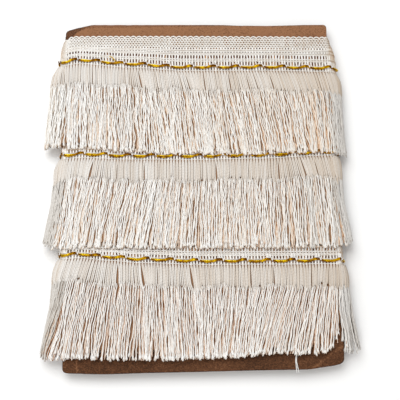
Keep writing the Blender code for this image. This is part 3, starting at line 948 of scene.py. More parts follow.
def scallops(bundle, tier, runs):
    """The edge chain, which arches over two wefts at a time."""
    arch = ARCH * np.abs(np.sin(math.pi * weft_count(runs) / 2)) ** 0.8
    points, outward = heading_place(tier, runs, ARCH_SHARE, arch + ARCH_FROM, ARCH_DEPTH)
    bundle.add_one(points, outward, 0.66, 5, 0.94 - knit_shade(runs, outward), shade=0.3, closed=True)


def weft_bars(bundle, tier, runs, bars, sides):
    """Short free stretches of weft between two chains, each with its own slight lean."""
    ways = np.linspace(-1, 1, len(WEFT_SIZE))
    share = (bars.top + bars.foot) / 2 + (bars.foot - bars.top) / 2 * ways
    lean = normal_column(runs, WEFT_LEAN) * ways
    points, outward = heading_place(tier, runs[:, None] + lean, share[None], 0.0, bars.radius)
    size = bars.radius * random_column(runs, *WEFT_SIZES) * WEFT_SIZE
    tone = random_column(runs, *WEFT_TONES) - knit_shade(runs[:, None], outward)
    bundle.add(points, outward, size, sides, tone, shade=0.3)


# %% [markdown]
# Under the knit lies the rest of the wound trim. A thin band shows it through the slits: its
# tone is light where the knit is close and deep brown behind the open rows, which is painted
# shade.

# %% The ground under the knit
# The tone behind each tier's upper and lower row of slits: painted shade on the turns beneath.
SLIT_TONES = by_tier((0.04, 0.16), (0.42, 0.16), (0.52, 0.16))
# How deep the ground's two faces lie, and how much its tone varies along the trim.
GROUND_FACES, GROUND_PATCHY = (1.35, 2.1), 0.40
# The height of the flat heading, and what the turns underneath add to its way round the card.
RISE, TURNS_BELOW = 28.0, 12
# A lower tier's ground starts this share above the heading's first row, with an even tone there.
GROUND_ABOVE, COVERED_TONE = 0.25, 0.6


def ground_rows(tier):
    """(share, tone) rows of the ground, from the heading's top edge to below its foot."""
    upper, lower = SLIT_TONES[tier]
    rows = (
        (0.02, 0.85), (0.06, 0.68), (0.33, 0.68), (0.36, 0.30), (0.43, 0.30), (0.49, 0.05),
        (0.55, 0.05), (0.57, 0.6), (0.60, 0.6), (0.61, upper), (0.745, upper), (0.75, 0.6),
        (0.81, 0.5), (0.82, lower), (0.97, lower), (1.20, 0.30),
    )
    first = FIRST_SHARE[tier]
    rows = [row for row in rows if row[0] >= first - GROUND_ABOVE]
    return np.array([row if row[0] > first else (row[0], COVERED_TONE) for row in rows])


def heading_ground(tier):
    """(band, its width): the turns under the heading, with painted shade behind the slits."""
    runs = runs_round(step=2.0, back_step=8.0)[:, None]
    rows = ground_rows(tier)
    outer, inner = (heading_place(tier, runs, rows[None, :, 0], 0.0, deep)[0] for deep in GROUND_FACES)
    ground = band(f"heading_ground_{tier}", outer, inner, rows[:, 1], KNIT_YARN, GROUND_PATCHY)
    return ground, np.ptp(rows[:, 0]) * RISE


# %% Make the headings
def make_heading(tier):
    knit = Bundle()
    weft = FACE_LENGTH / WEFTS[0]
    runs = runs_round(weft / 4, weft / 2)
    rows = CHAINS if tier == "top" else (*CHAINS, LOWER_CHAIN)
    for row in rows:
        if row.share > FIRST_SHARE[tier]:
            chain(knit, tier, runs, row)
    if tier == "top":
        scallops(knit, tier, runs)
    for bars in WEFT_BARS:
        if bars.foot > FIRST_SHARE[tier] + NEAR_FIRST:
            for first, last, sides in ((0, RIGHT_END, 6), (RIGHT_END, BACK_END, 4), (BACK_END, LEFT_END, 6)):
                weft_bars(knit, tier, runs_of_wefts(first, last), bars, sides)
    points, outward = heading_place(tier, runs, 1.0, -FOOT_BELOW, FOOT_DEPTH)
    knit.add_one(points, outward, FOOT_RADIUS, 4, 0.85, shade=0.2, closed=True)
    yarns = settle(knit.make(f"heading_yarns_{tier}", KNIT_YARN), "knit")
    ground, width = heading_ground(tier)
    settle(ground, "knit", f"heading_{tier}")


for tier in TIERS:
    make_heading(tier)

# %% [markdown]
# ## The gilt cord
# Two plies of gilt are twisted together and caught to the heading by a white stitch every
# eight wefts. At each stitch the cord makes a short flat step, and between stitches it sags.
# Its path is a formula of the weft count, so both plies can wind round it. A thin dark thread
# below the plies is painted shade: it gives the cord its brown lower edge.

# %% Numbers of the gilt cord
# The x of one crest of each tier's cord.
CREST_X = by_tier(-7.9, 0.2, -3.3)
# Half a step's share of a wave, how high the step lies, and how far it stands proud.
STEP_HALF, STEP_RISE, STEP_LIFT = 0.105, 1.0, 0.35
# Past a step the cord sets off at SAG_FROM, sags by a skewed curve and comes back SAG_BACK higher.
SAG_FROM, SAG, SAG_BACK = 0.40, 5.6, 0.55
# Right past a step the stitch pulls the cord in by DIP, over DIP_REACH of a wave.
DIP, DIP_REACH = 0.6, 0.035
CORD_PROUD = 0.65
PLY_RADIUS = by_tier(0.68, 0.62, 0.62)
PLY_OFFSET = 0.40
# Each ply's starting angle and how much duller it is, as painted reflection.
PLIES = ((0.0, 0.0), (math.pi, 0.30))
# The dark thread of painted shade under the cord: how far below it lies, how much that varies,
# its radius and tone.
SHADE_THREAD_BELOW, SHADE_THREAD_VARIES, SHADE_THREAD_RADIUS, SHADE_THREAD_TONE = 0.80, 0.16, 0.48, 0.76
# The plies wind round each other once a wave, and the bright one is on top at this phase.
BRIGHT_PHASE = 0.36
# The film is worn off most at the crests, where the stitches rub.
WORN_CREST = 0.16
HEADWARD = np.array([0.0, 1.0, 0.0])
# One frayed end of film curls up from the top cord: x, y and height above the card.
FRAYED = ((-77.2, 118.2, 5.6), (-75.4, 117.4, 6.2), (-73.4, 115.4, 6.3), (-72.0, 113.2, 6.0))
FRAYED_RADIUS = 0.36
print("stitches on one round of cord:", LEFT_END // WEFTS_A_WAVE)

# %% [markdown]
# A twisted curve would make both plies at once, but not the flat step at each stitch. The
# path's rise and lift are therefore plain functions of the phase between two stitches,
# smoothed a little, and each ply is a tube that winds round this path.

# %% Gilt cord
def through_knots(knots, steps):
    """The columns of a table read at even steps from its first row to its last."""
    share = np.linspace(0, 1, steps)
    places = np.linspace(0, 1, len(knots))
    return [np.interp(share, places, column) for column in np.array(knots).T]


def run_at(tier, x):
    """The run on the front face at this x, on the tier's cord line."""
    y = tier_line(tier, FACE_LENGTH / 2)[0]
    inner_left, inner_right = edge_x(LEFT, y) + CARD_HALF, edge_x(RIGHT, y) - CARD_HALF
    return FACE_LENGTH * (x - inner_left) / (inner_right - inner_left)


def cord_wave(tier, runs):
    """(phase, rise, lift) of the gilt cord: a step at each stitch and a sag between."""
    crest = weft_count(run_at(tier, CREST_X[tier]))
    phase = ((weft_count(runs) - crest) / WEFTS_A_WAVE + 0.5) % 1.0 - 0.5
    through = np.clip((phase % 1.0 - STEP_HALF) / (1 - 2 * STEP_HALF), 0, 1)
    sag = SAG_FROM - SAG * through * (1 - through) * (1.15 - 0.3 * through) + SAG_BACK * through
    on_step = np.abs(phase) < STEP_HALF
    rise = np.where(on_step, STEP_RISE, sag)
    lift = np.where(on_step, STEP_LIFT, 0.0) - DIP * np.exp(-((phase - STEP_HALF) / DIP_REACH) ** 2)
    kernel = np.hanning(5) / np.hanning(5).sum()
    rise, lift = (np.convolve(np.concatenate([v[-2:], v, v[:2]]), kernel, "valid") for v in (rise, lift))
    return phase, rise, lift


def make_gilt_cord(tier):
    runs = runs_round(step=0.6, back_step=1.2)
    phase, rise, lift = cord_wave(tier, runs)
    centre, outward = heading_place(tier, runs, 1.0, rise, -CORD_PROUD - lift)
    bundle = Bundle()
    # The slow dark and bright stretches along the cord are painted reflection.
    reflection_and_wear = 1.00 + 0.20 * np.sin(weft_count(runs) * 1.9) * np.sin(weft_count(runs) * 0.83 + 1)
    reflection_and_wear = reflection_and_wear - WORN_CREST * np.exp(-(((phase - 0.02) / 0.07) ** 2))
    for start, dull in PLIES:
        angle = TAU * (phase - BRIGHT_PHASE) + start
        path = centre + PLY_OFFSET * (np.cos(angle)[:, None] * HEADWARD + np.sin(angle)[:, None] * outward)
        # A ply is lighter where it winds towards the head, and darker on its lower side: painted light and
        # shade from the key lamp's side.
        tone = reflection_and_wear - dull + 0.12 * np.cos(angle)
        bundle.add_one(path, outward + HEADWARD, PLY_RADIUS[tier], 6, tone, shade=0.6, closed=True)
    # The dark thread under the plies paints the shade of the cord's lower edge.
    shade_thread = centre - HEADWARD * (SHADE_THREAD_BELOW + SHADE_THREAD_VARIES * np.sin(runs / 3.1))[:, None] + 0.1 * outward
    bundle.add_one(shade_thread, outward, SHADE_THREAD_RADIUS, 5, SHADE_THREAD_TONE * reflection_and_wear, closed=True)
    if tier == "top":
        x, y, lift = through_knots(FRAYED, 10)
        path = np.column_stack([x + SHIFT_X, y, CARD_FRONT + lift])
        bundle.add_one(path, UP, FRAYED_RADIUS, 5, 0.95)
    settle(bundle.make(f"gilt_cord_plies_{tier}", GILT), "gilt", f"gilt_cord_{tier}")


for tier in TIERS:
    make_gilt_cord(tier)

# %% [markdown]
# ## Stitches that hold the gilt cord
# At every step of the cord, a white yarn comes down the heading, passes over the cord's right
# end and turns back under it. One stitch could be copied to every crest, but the cord's line
# bends. The four parts of a stitch are therefore short tubes, which a table places round each
# crest on the heading itself.

# %% Catching stitches
# Columns are x and y from the crest at each end, how far it stands proud, and its radius.
Stitch = namedtuple("Stitch", "x0 y0 x1 y1 proud radius")
STITCHES = (
    Stitch(-2.6, 2.4, 2.4, 2.3, 0.7, 0.55),
    Stitch(1.9, 2.2, 3.1, -0.9, 1.7, 0.55),
    Stitch(-0.8, 6.0, -0.5, 2.4, 0.2, 0.70),
    Stitch(1.3, 5.4, 1.5, 2.4, 0.4, 0.95),
)
STITCH_PROFILE = np.array([0.5, 0.9, 1, 1, 1, 0.9, 0.5])
STITCH_DEPTH = 0.3


def catch_stitches(tier):
    bundle = Bundle()
    crests = np.arange(0, LEFT_END, WEFTS_A_WAVE) + weft_count(run_at(tier, CREST_X[tier]))
    runs = np.interp(crests % LEFT_END, WEFT_STOPS, STOPS)
    share = np.linspace(0, 1, len(STITCH_PROFILE))
    for stitch in STITCHES:
        aside = stitch.x0 + (stitch.x1 - stitch.x0) * share
        rise = stitch.y0 + (stitch.y1 - stitch.y0) * share
        depth = STITCH_DEPTH - stitch.proud * np.sin(math.pi * np.clip(share, 0.08, 0.92))
        points, outward = heading_place(tier, runs[:, None] + aside, 1.0, rise, depth)
        size = np.tile(stitch.radius * STITCH_PROFILE, (len(runs), 1))
        bundle.add(points, outward, size, 5, 0.95, shade=0.3)
    settle(bundle.make(f"catch_stitches_{tier}", KNIT_YARN), "knit")


for tier in TIERS:
    catch_stitches(tier)

# %% [markdown]
# ## How the yarns of the fringe hang
# Two yarns leave the heading at each weft. Neighbours lean the same way, because the trim was
# pushed aside as it was wound, so a table gives the lean across each tier. Slow waves of the
# run and the drop gather yarns into loose groups, and a few partings open in the skirt, which
# is the smooth upper part. Neighbours share all of this, so it is a function of the place.

# %% Numbers of lean, waves and partings
# Drops below the cord: the skirt's top and end, how much higher it ends in short stretches, and
# the cut ends.
SKIRT_TOP, SKIRT_END, SKIRT_HIGHER = 3.9, 23.6, 2.6
TIP_DROP = 78.0

# Columns are x, and how far a yarn has moved aside at the skirt's end and at its cut end.
LEANS = {
    "top": [
        (-116, 0, -2), (-70, 0, 0), (-52, 2, 4), (-42, 2.5, 9), (-26, 2.5, 7), (-10, 4, 10), (5, 2.5, 9),
        (25, 2.5, 10), (42, 4, 12), (52, 5, 13), (82, 5.5, 12), (108, 4, 6),
    ],
    "middle": [
        (-112, -2, -7), (-88, -3, -12), (-68, -0.5, -11), (-50, 0, -11), (-25, -0.5, -7),
        (0, 0, -3), (30, 0, -2), (62, 0, 0), (84, 4, 6), (110, 3, 6),
    ],
    "bottom": [
        (-110, -5, -15), (-92, -6, -17), (-75, -2, -11), (-55, 0.5, -3), (-35, 0, 0), (-10, 1, 3),
        (10, 0, -3), (40, 0, -9), (65, 0, -16), (90, -1, -13), (112, -1, -4),
    ],
}
# Columns are x, how far the skirt opens there and how far the parting's foot leans aside.
PARTINGS = {
    "top": [
        (-88.7, 0.4, 0), (-50.3, 1.0, 1.5), (-10.7, 0.5, 1.5), (4.7, 0.7, -0.5), (26, 0.5, 0),
        (40.6, 0.5, 0), (46.4, 0.4, 0.5), (60, 0.8, 0), (101, 0.4, 0),
    ],
    "middle": [
        (-88.2, 1.0, -1), (-68.4, 0.5, 0), (-46.2, 0.6, 0), (13.8, 0.9, 0.5), (40.4, 0.4, 0),
        (65.8, 0.6, 0), (83.7, 0.5, 1), (95.5, 0.4, 0),
    ],
    "bottom": [
        (-67.8, 1.0, 0.5), (-49.6, 1.1, 2.5), (-36.3, 0.5, 0), (-10.1, 1.0, 1.8), (39.3, 0.5, 0),
        (58, 0.4, 0), (88.6, 0.4, 0),
    ],
}
# The top tier's partings are shallower than the others, so they open less.
PARTING_OPEN = by_tier(2.0, 2.8, 2.8)
PARTING_REACH, LEAN_REACH = 3.0, 6.0
# The fringe reaches about this far past the card's long edges, and the lean fades over it.
SIDE_REACH = 14
# Columns are how many waves go round, how many millimetres of drop turn one radian, and size.
WAVES = ((17, 16.0, 0.4), (31, -10.0, 0.3), (52, 7.0, 0.2))
# Below the skirt the yarns are gathered: how many gathers go round, and their size. They set in
# from GATHER_NEAR above its end, over GATHER_EASE, and fade from GATHER_NEAR below it.
GATHERS = ((103, 0.50), (151, 0.30), (71, 0.35))
GATHER_NEAR, GATHER_EASE, GATHER_REACH = 3, 4, 9.0
# How far the cut ends of the right side's first yarns have moved to the back.
BACKWARDS = by_tier(0.0, 3.0, 4.0)
# Towards the cut ends the strands cling together in small clumps, with gaps between them.
CLUMPS = ((57, 0.4), (83, 0.3), (131, 0.25))
CLUMP_START, CLUMP_REACH = 52.0, 24.0
print("partings in the skirts:", {tier: len(PARTINGS[tier]) for tier in TIERS})

# %% [markdown]
# A hair simulation could hang the yarns, but each small change would let them come to rest
# in another way. Waves and tables put a gather or a parting where the real trim has it,
# and yarns that share them stay side by side.

# %% Lean, waves and partings
def round_wave(count, run, start):
    """A wave that goes count times round the trim."""
    return np.sin(TAU * count * run / ROUND + start)


def shared_shift(tier, run, drop):
    """Sideways shift in millimetres that a yarn shares with its neighbours."""
    near = np.where(run > (FACE_LENGTH + ROUND) / 2, run - ROUND, run)
    x = near - FACE_LENGTH / 2
    on_front = np.clip(1 - (np.abs(x) - FACE_LENGTH / 2) / SIDE_REACH, 0, 1)
    at_skirt, at_tip = read_table(LEANS[tier], x)
    upper = np.clip((drop - SKIRT_TOP) / (SKIRT_END - SKIRT_TOP), 0, 1)
    lower = np.clip((drop - SKIRT_END) / (TIP_DROP - SKIRT_END), 0, 1.1)
    eased = 0.75 * lower + 0.25 * np.sin(math.pi / 2 * np.clip(lower, 0, 1))
    shift = (at_skirt * upper + (at_tip - at_skirt) * eased) * on_front
    past = (run - FACE_LENGTH) / SIDE_LENGTH
    shift = shift + BACKWARDS[tier] * lower * np.where(past > 0, np.clip(1 - past, 0, 1), 0)
    # Each tier's waves start at another place.
    start = 1.7 * TIERS.index(tier)
    for count, bend, size in WAVES:
        angle = TAU * count * run / ROUND + drop / bend + start * count
        shift = shift + size * np.sin(angle) * (0.25 * upper + 0.75 * np.clip(lower * 2, 0, 1)) * upper
    below = drop - SKIRT_END
    gathered = np.clip((below + GATHER_NEAR) / GATHER_EASE, 0, 1)
    gathered = gathered * np.exp(-np.maximum(below - GATHER_NEAR, 0) / GATHER_REACH)
    for count, size in GATHERS:
        shift = shift + size * gathered * round_wave(count, run, 2.3 * start)
    clumped = np.clip((drop - CLUMP_START) / CLUMP_REACH, 0, 1.2) ** 1.5
    for count, size in CLUMPS:
        shift = shift + size * clumped * round_wave(count, run, 1.3 * start)
    # A parting starts as a point, is widest well down the skirt and closes at its end.
    opened = PARTING_OPEN[tier] * upper ** 1.2 * np.sqrt(1 - upper)
    for place_x, width, lean in PARTINGS[tier]:
        away = x - place_x
        shift = shift + width * opened * np.sign(away) * np.exp(-np.abs(away) / PARTING_REACH)
        shift = shift + lean * upper * np.exp(-((away / LEAN_REACH) ** 2))
    return shift


def strand_length(tier, run):
    """How far below the cord the yarns of this run are cut."""
    across, angle = station(run)
    reach = read_table(TIPS[tier], station_x(across) + SIDE_REACH * np.cos(angle))[0]
    return tier_line(tier, run)[0] - reach


def skirt_end(tier, run):
    """Where the skirt ends: a slow wave, and short stretches where it ends higher up."""
    start = 2.1 * TIERS.index(tier)
    higher = SKIRT_HIGHER * np.maximum(round_wave(13, run, 3 * start), 0) ** 6
    return SKIRT_END + round_wave(9, run, start) - higher


print("skirts end below the cord by", [round(float(skirt_end(tier, 0.0)), 1) for tier in TIERS], "mm")

# %% [markdown]
# ## Skirt
# In the skirt the yarns lie side by side and nearly touch. A flat sheet with drawn lines would
# be lighter, but low light would show no round yarns on it. Each yarn is a tube a little wider
# than its pitch, moved aside and sunk by chance, so that fine dark lines open here and there.

# %% Skirt yarns
# At its top the two yarns of each weft are drawn together by this much, over this drop.
PAIRED, PAIR_REACH = 0.30, 2.5
# The skirt is duller where it turns round the card's long edges: painted shade.
SKIRT_TURN_SHADE = 0.12
SKIRT_PITCH = 1.237
# A yarn's radius from its top to its end, as a share of the widest, which is RADIUS_SHARE of
# the pitch. SKIRT_DEPTH is its depth at shares of the way down.
SKIRT_SIZE = np.array([0.8, 1, 1, 1, 1, 0.95, 0.6])
RADIUS_SHARE = 0.57
SKIRT_DEPTH = ((0, 1.0), (0.14, 0.6), (0.8, 0.6), (1, 0.8))
# What chance does to the end, to the way aside as a share of the pitch, and to the depth, and
# the ranges of size and tone.
END_CHANCE, ASIDE_CHANCE, DEPTH_CHANCE = 1.3, 0.09, (-0.25, 0.25)
SKIRT_SIZES, SKIRT_CHANCE = (0.93, 1.08), (0.81, 0.98)
# The back's thick yarns lie deeper, so that they rest on the table and don't sink into it.
THICK_DEEPER = 1.2


def skirt(bundle, tier, runs, pitch):
    share = np.linspace(0, 1, len(SKIRT_SIZE))
    end = skirt_end(tier, runs)[:, None] + normal_column(runs, END_CHANCE)
    drop = SKIRT_TOP + (end - SKIRT_TOP) * share
    path = runs[:, None] + shared_shift(tier, runs[:, None], drop)
    path += PAIRED * np.sin(TAU * weft_count(runs))[:, None] * np.exp((SKIRT_TOP - drop) / PAIR_REACH)
    path += normal_column(runs, ASIDE_CHANCE * pitch) * np.sqrt(share)
    depth = read_table(SKIRT_DEPTH, share)[0] + random_column(runs, *DEPTH_CHANCE)
    depth += THICK_DEEPER * (pitch - SKIRT_PITCH)
    points, outward = fringe_place(tier, path, drop, depth)
    size = RADIUS_SHARE * pitch * SKIRT_SIZE * random_column(runs, *SKIRT_SIZES)
    streak = 0.03 * np.sin(runs / 4.1) * np.sin(runs / 2.3)
    across, angle = station(runs)
    # Painted shade towards the right end and at the turns round the card.
    streak = streak - SKIRT_FALLOFF_SHADE * across - SKIRT_TURN_SHADE * np.abs(np.cos(angle))
    tone = (rng.uniform(*SKIRT_CHANCE, len(runs)) + streak)[:, None] * np.linspace(0.97, 1.0, len(share))
    bundle.add(points, outward, size, 5, tone, shade=0.70, hand=-1)


def make_skirt(tier):
    bundle = Bundle()
    for first, last, each in ((0, RIGHT_END, 2), (BACK_END, LEFT_END, 2), (RIGHT_END, BACK_END, 1)):
        skirt(bundle, tier, runs_of_wefts(first, last, each), 2 * SKIRT_PITCH / each)
    settle(bundle.make(f"skirt_{tier}", SKIRT_YARN), "yarn")


for tier in TIERS:
    make_skirt(tier)

# %% [markdown]
# ## Strands
# Below the skirt every yarn is a strand of two plies. There are more of them than in the skirt,
# in an outer and an under layer, because strands of the inner turns come through. A strand
# follows the shared shift, plus a slope, a bend and a small wiggle of its own, so that it
# crosses its neighbours, and it rises and sinks between the outer skin and the layers below.
# Deeper strands have a lower tone, which is painted shade. At the cut end the two plies open a little.

# %% Numbers of the strands
# Depth and spread say where a layer lies below the skin, fade is the tone lost for each
# millimetre deeper, short is how much higher it is cut, and own is how much its strands bend.
# A deeper layer's lower tone and its fade are painted shade.
# Steps and sides are those of the tubes. With tufts the plies show, and part at the cut ends.
Layer = namedtuple("Layer", "depth spread radius tone fade short own shade steps sides tufts")
OUTER = Layer(0.4, 1.4, 0.55, 1.17, 0.10, 0.3, 1.0, 1.25, 34, 5, True)
UNDER = Layer(2.0, 0.8, 0.60, 0.92, 0.1, 0.8, 1.0, 1.45, 14, 4, False)
DEEP = Layer(5.0, 3.0, 0.9, 0.64, 0.02, 3.0, 0.6, 0.2, 8, 4, False)
GREY = OUTER._replace(shade=0.7)
SIDE, SIDE_UNDER = OUTER._replace(shade=0.5, steps=24), UNDER._replace(shade=0.5, steps=11)
REAR = OUTER._replace(depth=0.9, spread=0.4, radius=0.72, steps=11, tufts=False)
REAR_UNDER = UNDER._replace(depth=1.5, radius=0.86, steps=8)
# The rear's under layer lies this far aside from the outer one.
REAR_ASIDE = 1.2
# How much lighter the strands of a whole tier are, and how many times stronger their shade.
TIER_LIGHTER = by_tier(0.0, 0.01, 0.14)
TIER_SHADE = by_tier(0.95, 1.1, 1.85)
# The tone of the front's greyed strands and of the left side, which is lower in the lower
# tiers, as painted shade, and of the right side.
LEFT_TONE = by_tier(1.04, 0.92, 0.74)
RIGHT_TONE = 1.14
# How much further than the measured tips a tier's strands reach.
TIPS_BELOW = by_tier(0.3, 0.8, 0.0)
# How many outer, under and deep strands there are to a weft.
PER_WEFT = by_tier(2.5, 2.4, 2.2)
UNDER_PER_WEFT, DEEP_PER_WEFT = 3, 2
# The lowest tier's strands were combed straight, and the others are crinkled.
TIER_OWN = by_tier(1.0, 0.85, 0.70)
# How strong a strand's own slope, bend, wiggle and sinking are, and the most that it can slope.
SLOPE, BEND, WIGGLE, SINK, SLOPE_MOST = 0.75, 0.55, 0.30, 0.25, 6
# Ranges of the bend and the sinking in turns, and of the wiggle in millimetres.
BEND_TURNS, SINK_TURNS, WIGGLE_LENGTHS = (0.8, 2.0), (0.7, 1.8), (7, 13)
# Ranges of thickness and tone, and the thickness at shares of the way down.
THICKNESS, TONE_CHANCE = (0.88, 1.12), (-0.07, 0.03)
TAPER = ((0, 0.8), (0.05, 0.95), (0.12, 1.0), (0.97, 1.05), (1.0, 0.75))
# A strand starts this far above the skirt's end, and its cut varies by this much.
ROOT_ABOVE, CUT_CHANCE = 2.4, 2.1
# How far most strands of the right side hang in at their cut ends, and the share that do not.
HANG_IN = by_tier(0.0, 0.0, 9.0)
HANG_LOOSE = 0.25
# On the underside of the pack the strands are a little shorter, and hide behind the upper ones.
UNDERSIDE_SHORT = 3.5
# Over these millimetres from the left and right end, greyed strands, with painted shade, mix
# with the others. All are grey at the very left, and this share at the very right.
GREYED = by_tier((0.5, 13.0), (5.5, 17.0), (8.0, 4.0))
GREYED_RIGHT = 0.8
# How strongly two plies show in a strand's outline.
PLY_LOBES = 0.13
# How much duller a strand gets over its last millimetres up to the cut, as painted shade at the
# cut end, and its size there.
CUT_SHADE = np.array([0.06, 0.06, 0.16, 0.50])
CUT_SIZE = np.array([0.55, 0.62, 0.58, 0.3])
# How far from the middle the two plies lie where they start to open, and ranges of how far
# they reach on, open aside and open out.
PLIES_APART = 0.28
PLY_REACH, PLY_ASIDE, PLY_OUT = (2.6, 4.2), (0.25, 1.0), (-0.5, 0.6)
print("strands to a weft:", {tier: PER_WEFT[tier] for tier in TIERS})

# %% [markdown]
# A particle system would draw the strands as hairs, but hairs have no twist and can't be
# saved as a mesh. Tubes with two lobes take more memory, and each is a real surface.

# %% A layer of strands
def strands(bundle, tier, runs, layer):
    """One layer of twisted strands that hang at these runs."""
    share = np.linspace(0, 1, layer.steps)[None]
    across, angle = station(runs)
    root = skirt_end(tier, runs)[:, None] - ROOT_ABOVE + 0.6 * layer.depth
    length = strand_length(tier, runs)[:, None] - layer.short - np.abs(normal_column(runs, CUT_CHANCE))
    length += TIPS_BELOW[tier] - layer.depth / 4
    length -= UNDERSIDE_SHORT * np.clip(-2 * np.sin(angle), 0, 1)[:, None]
    drop = root + (length - root) * share
    unruly = layer.own * TIER_OWN[tier]
    slope = np.clip(rng.standard_t(2, (len(runs), 1)) * SLOPE * unruly, -SLOPE_MOST, SLOPE_MOST)
    bend = normal_column(runs, BEND * unruly)
    wave = np.sin(TAU * (random_column(runs, *BEND_TURNS) * share + random_column(runs, 0, 1)))
    wiggle = np.sin(TAU * (drop / random_column(runs, *WIGGLE_LENGTHS) + random_column(runs, 0, 1)))
    ramp_in = np.clip(share * 6, 0, 1)
    own = slope * share ** 1.2 + (bend * wave + WIGGLE * unruly * wiggle) * ramp_in
    path = runs[:, None] + shared_shift(tier, runs[:, None], drop) + own
    level = random_column(runs, 0, 1)
    sink = np.sin(TAU * (random_column(runs, *SINK_TURNS) * share + random_column(runs, 0, 1)))
    depth = layer.depth + layer.spread * np.clip(level + SINK * sink, 0, 1.2)
    rise_in = np.clip(share * 14, 0, 1)
    depth = depth * rise_in + (0.7 + 0.6 * layer.depth) * (1 - rise_in)
    past = np.clip((runs - FACE_LENGTH) / SIDE_LENGTH, 0, 1)
    held = np.sin(math.pi * past) * (rng.uniform(0, 1, len(runs)) > HANG_LOOSE)
    hung_in = HANG_IN[tier] * held[:, None] * share ** 2
    points, outward = fringe_place(tier, path, drop, depth + hung_in)
    thickness = layer.radius * random_column(runs, *THICKNESS)
    size = thickness * read_table(TAPER, share)[0]
    # Deeper strands have a lower tone: painted shade.
    tone = layer.tone + TIER_LIGHTER[tier] - layer.fade * (depth - layer.depth)
    # Towards the right end the strands take painted shade.
    tone = tone + random_column(runs, *TONE_CHANCE) - STRAND_FALLOFF_SHADE[tier] * across[:, None]
    look = dict(lobes=PLY_LOBES * layer.tufts, pitch=STRAND_PITCH, shade=layer.shade * TIER_SHADE[tier])
    bundle.add(points, outward, size, layer.sides, tone, **look)
    if layer.tufts:
        open_ends(bundle, points, outward, thickness, tone, layer.shade / 2)


# %% [markdown]
# Where a strand is cut, its two plies spring apart. One tube can't fork, so the plies are
# short tapering tubes of their own that start just inside the strand's end.

# %% Opened cut ends
def open_ends(bundle, points, outward, thickness, tone, shade):
    """Two short plies that part from each other past the end of every strand."""
    end, tip_tone = points[:, -3:-2], tone[:, -1:]
    ahead = points[:, -1:] - end
    ahead /= np.linalg.norm(ahead, axis=2, keepdims=True)
    out = outward[:, -1:]
    aside = np.cross(ahead, out)
    share = np.linspace(0, 1, len(CUT_SIZE))[None, :, None]
    for way in (-1, 1):
        reach = random_column(points, *PLY_REACH)[..., None]
        open_aside = way * random_column(points, *PLY_ASIDE)[..., None]
        open_out = random_column(points, *PLY_OUT)[..., None]
        path = end + way * PLIES_APART * aside + reach * share * ahead
        path = path + share ** 1.5 * (open_aside * aside + open_out * out)
        out_all = np.broadcast_to(out, path.shape)
        # The tone falls towards the cut: painted shade on the cut ends.
        bundle.add(path, out_all, thickness * CUT_SIZE, 5, tip_tone - CUT_SHADE, shade=shade)


# %% [markdown]
# Inside all the strands lie the inner turns of the trim. They are one thin closed band with a
# low tone of painted shade, which stops the view between strands as the real yarn does.

# %% Inner turns and the whole fringe
# The band is cut short by this much at the right corner, where the fringe parts over the card.
# The middle of that place lies CORNER_PAST beyond the front's end.
CORNER_OPEN = by_tier(0.0, 0.0, 24.0)
CORNER_PAST, CORNER_REACH = 12, 15
# The share of the strands' length that the band covers.
INNER_REACH = by_tier(0.93, 0.93, 0.89)
INNER_TONE = by_tier(0.15, 0.13, 0.06)
# Depths of the band's outer and inner face at its top, and what they gain below the skirt.
INNER_FACES = ((1.5, 1.7), (2.4, 1.5))


def inner_turns(tier):
    runs = runs_round(step=2.5, back_step=8.0)[:, None]
    share = np.linspace(0, 1, 11)[None]
    corner = np.exp(-(((runs - FACE_LENGTH - CORNER_PAST) / CORNER_REACH) ** 2))
    reach = INNER_REACH[tier] * strand_length(tier, runs) - CORNER_OPEN[tier] * corner
    drop = SKIRT_TOP - 0.4 + (reach - SKIRT_TOP) * share
    deep = np.clip((share - 0.2) / 0.2, 0, 1)
    outer, inner = (fringe_place(tier, runs, drop, at + more * deep)[0] for at, more in INNER_FACES)
    # Painted shade: a low tone, with less of it at the card's long edges.
    tones = INNER_TONE[tier] + 0.06 * share + 0.40 * np.abs(np.cos(station(runs)[1]))
    return band(f"inner_turns_{tier}", outer, inner, tones, INNER_YARN)


def make_fringe(tier):
    face, under, ends, rear = Bundle(), Bundle(), Bundle(), Bundle()
    runs = runs_of_wefts(0, FRONT_END, PER_WEFT[tier])
    # Near the front's ends some strands are greyed with painted shade.
    left, right = GREYED[tier]
    chance = np.exp(-((runs / left) ** 2)) + GREYED_RIGHT * np.exp(-(((FACE_LENGTH - runs) / right) ** 2))
    greyed = rng.uniform(0, 1, len(runs)) < chance
    strands(face, tier, runs[~greyed], OUTER)
    strands(under, tier, runs_of_wefts(0, FRONT_END, UNDER_PER_WEFT), UNDER)
    if tier == "bottom":
        # Seen from the pack's foot, these strands fill the room between the fringe and the card.
        strands(under, tier, runs_of_wefts(0, FRONT_END, DEEP_PER_WEFT), DEEP)
    settle(under.make(f"strands_under_{tier}", STRAND_YARN), "yarn")
    strands(ends, tier, runs[greyed], GREY._replace(tone=LEFT_TONE[tier]))
    for first, last, tone in ((FRONT_END, RIGHT_END, RIGHT_TONE), (BACK_END, LEFT_END, LEFT_TONE[tier])):
        # The top tier's left side goes with its front, without the side yarn's painted shade.
        bundle = face if tier == "top" and first == BACK_END else ends
        for layer in (SIDE, SIDE_UNDER):
            strands(bundle, tier, runs_of_wefts(first, last, UNDER_PER_WEFT), layer._replace(tone=tone))
    settle(face.make(f"strands_front_{tier}", STRAND_YARN), "yarn", f"fringe_{tier}")
    settle(ends.make(f"strands_ends_{tier}", EDGE_SHADE_YARN), "yarn")
    runs = runs_of_wefts(RIGHT_END, BACK_END)
    strands(rear, tier, runs, REAR)
    strands(rear, tier, runs + REAR_ASIDE, REAR_UNDER)
    settle(rear.make(f"strands_back_{tier}", STRAND_YARN), "yarn")
    settle(inner_turns(tier), "yarn")


for tier in TIERS:
    make_fringe(tier)

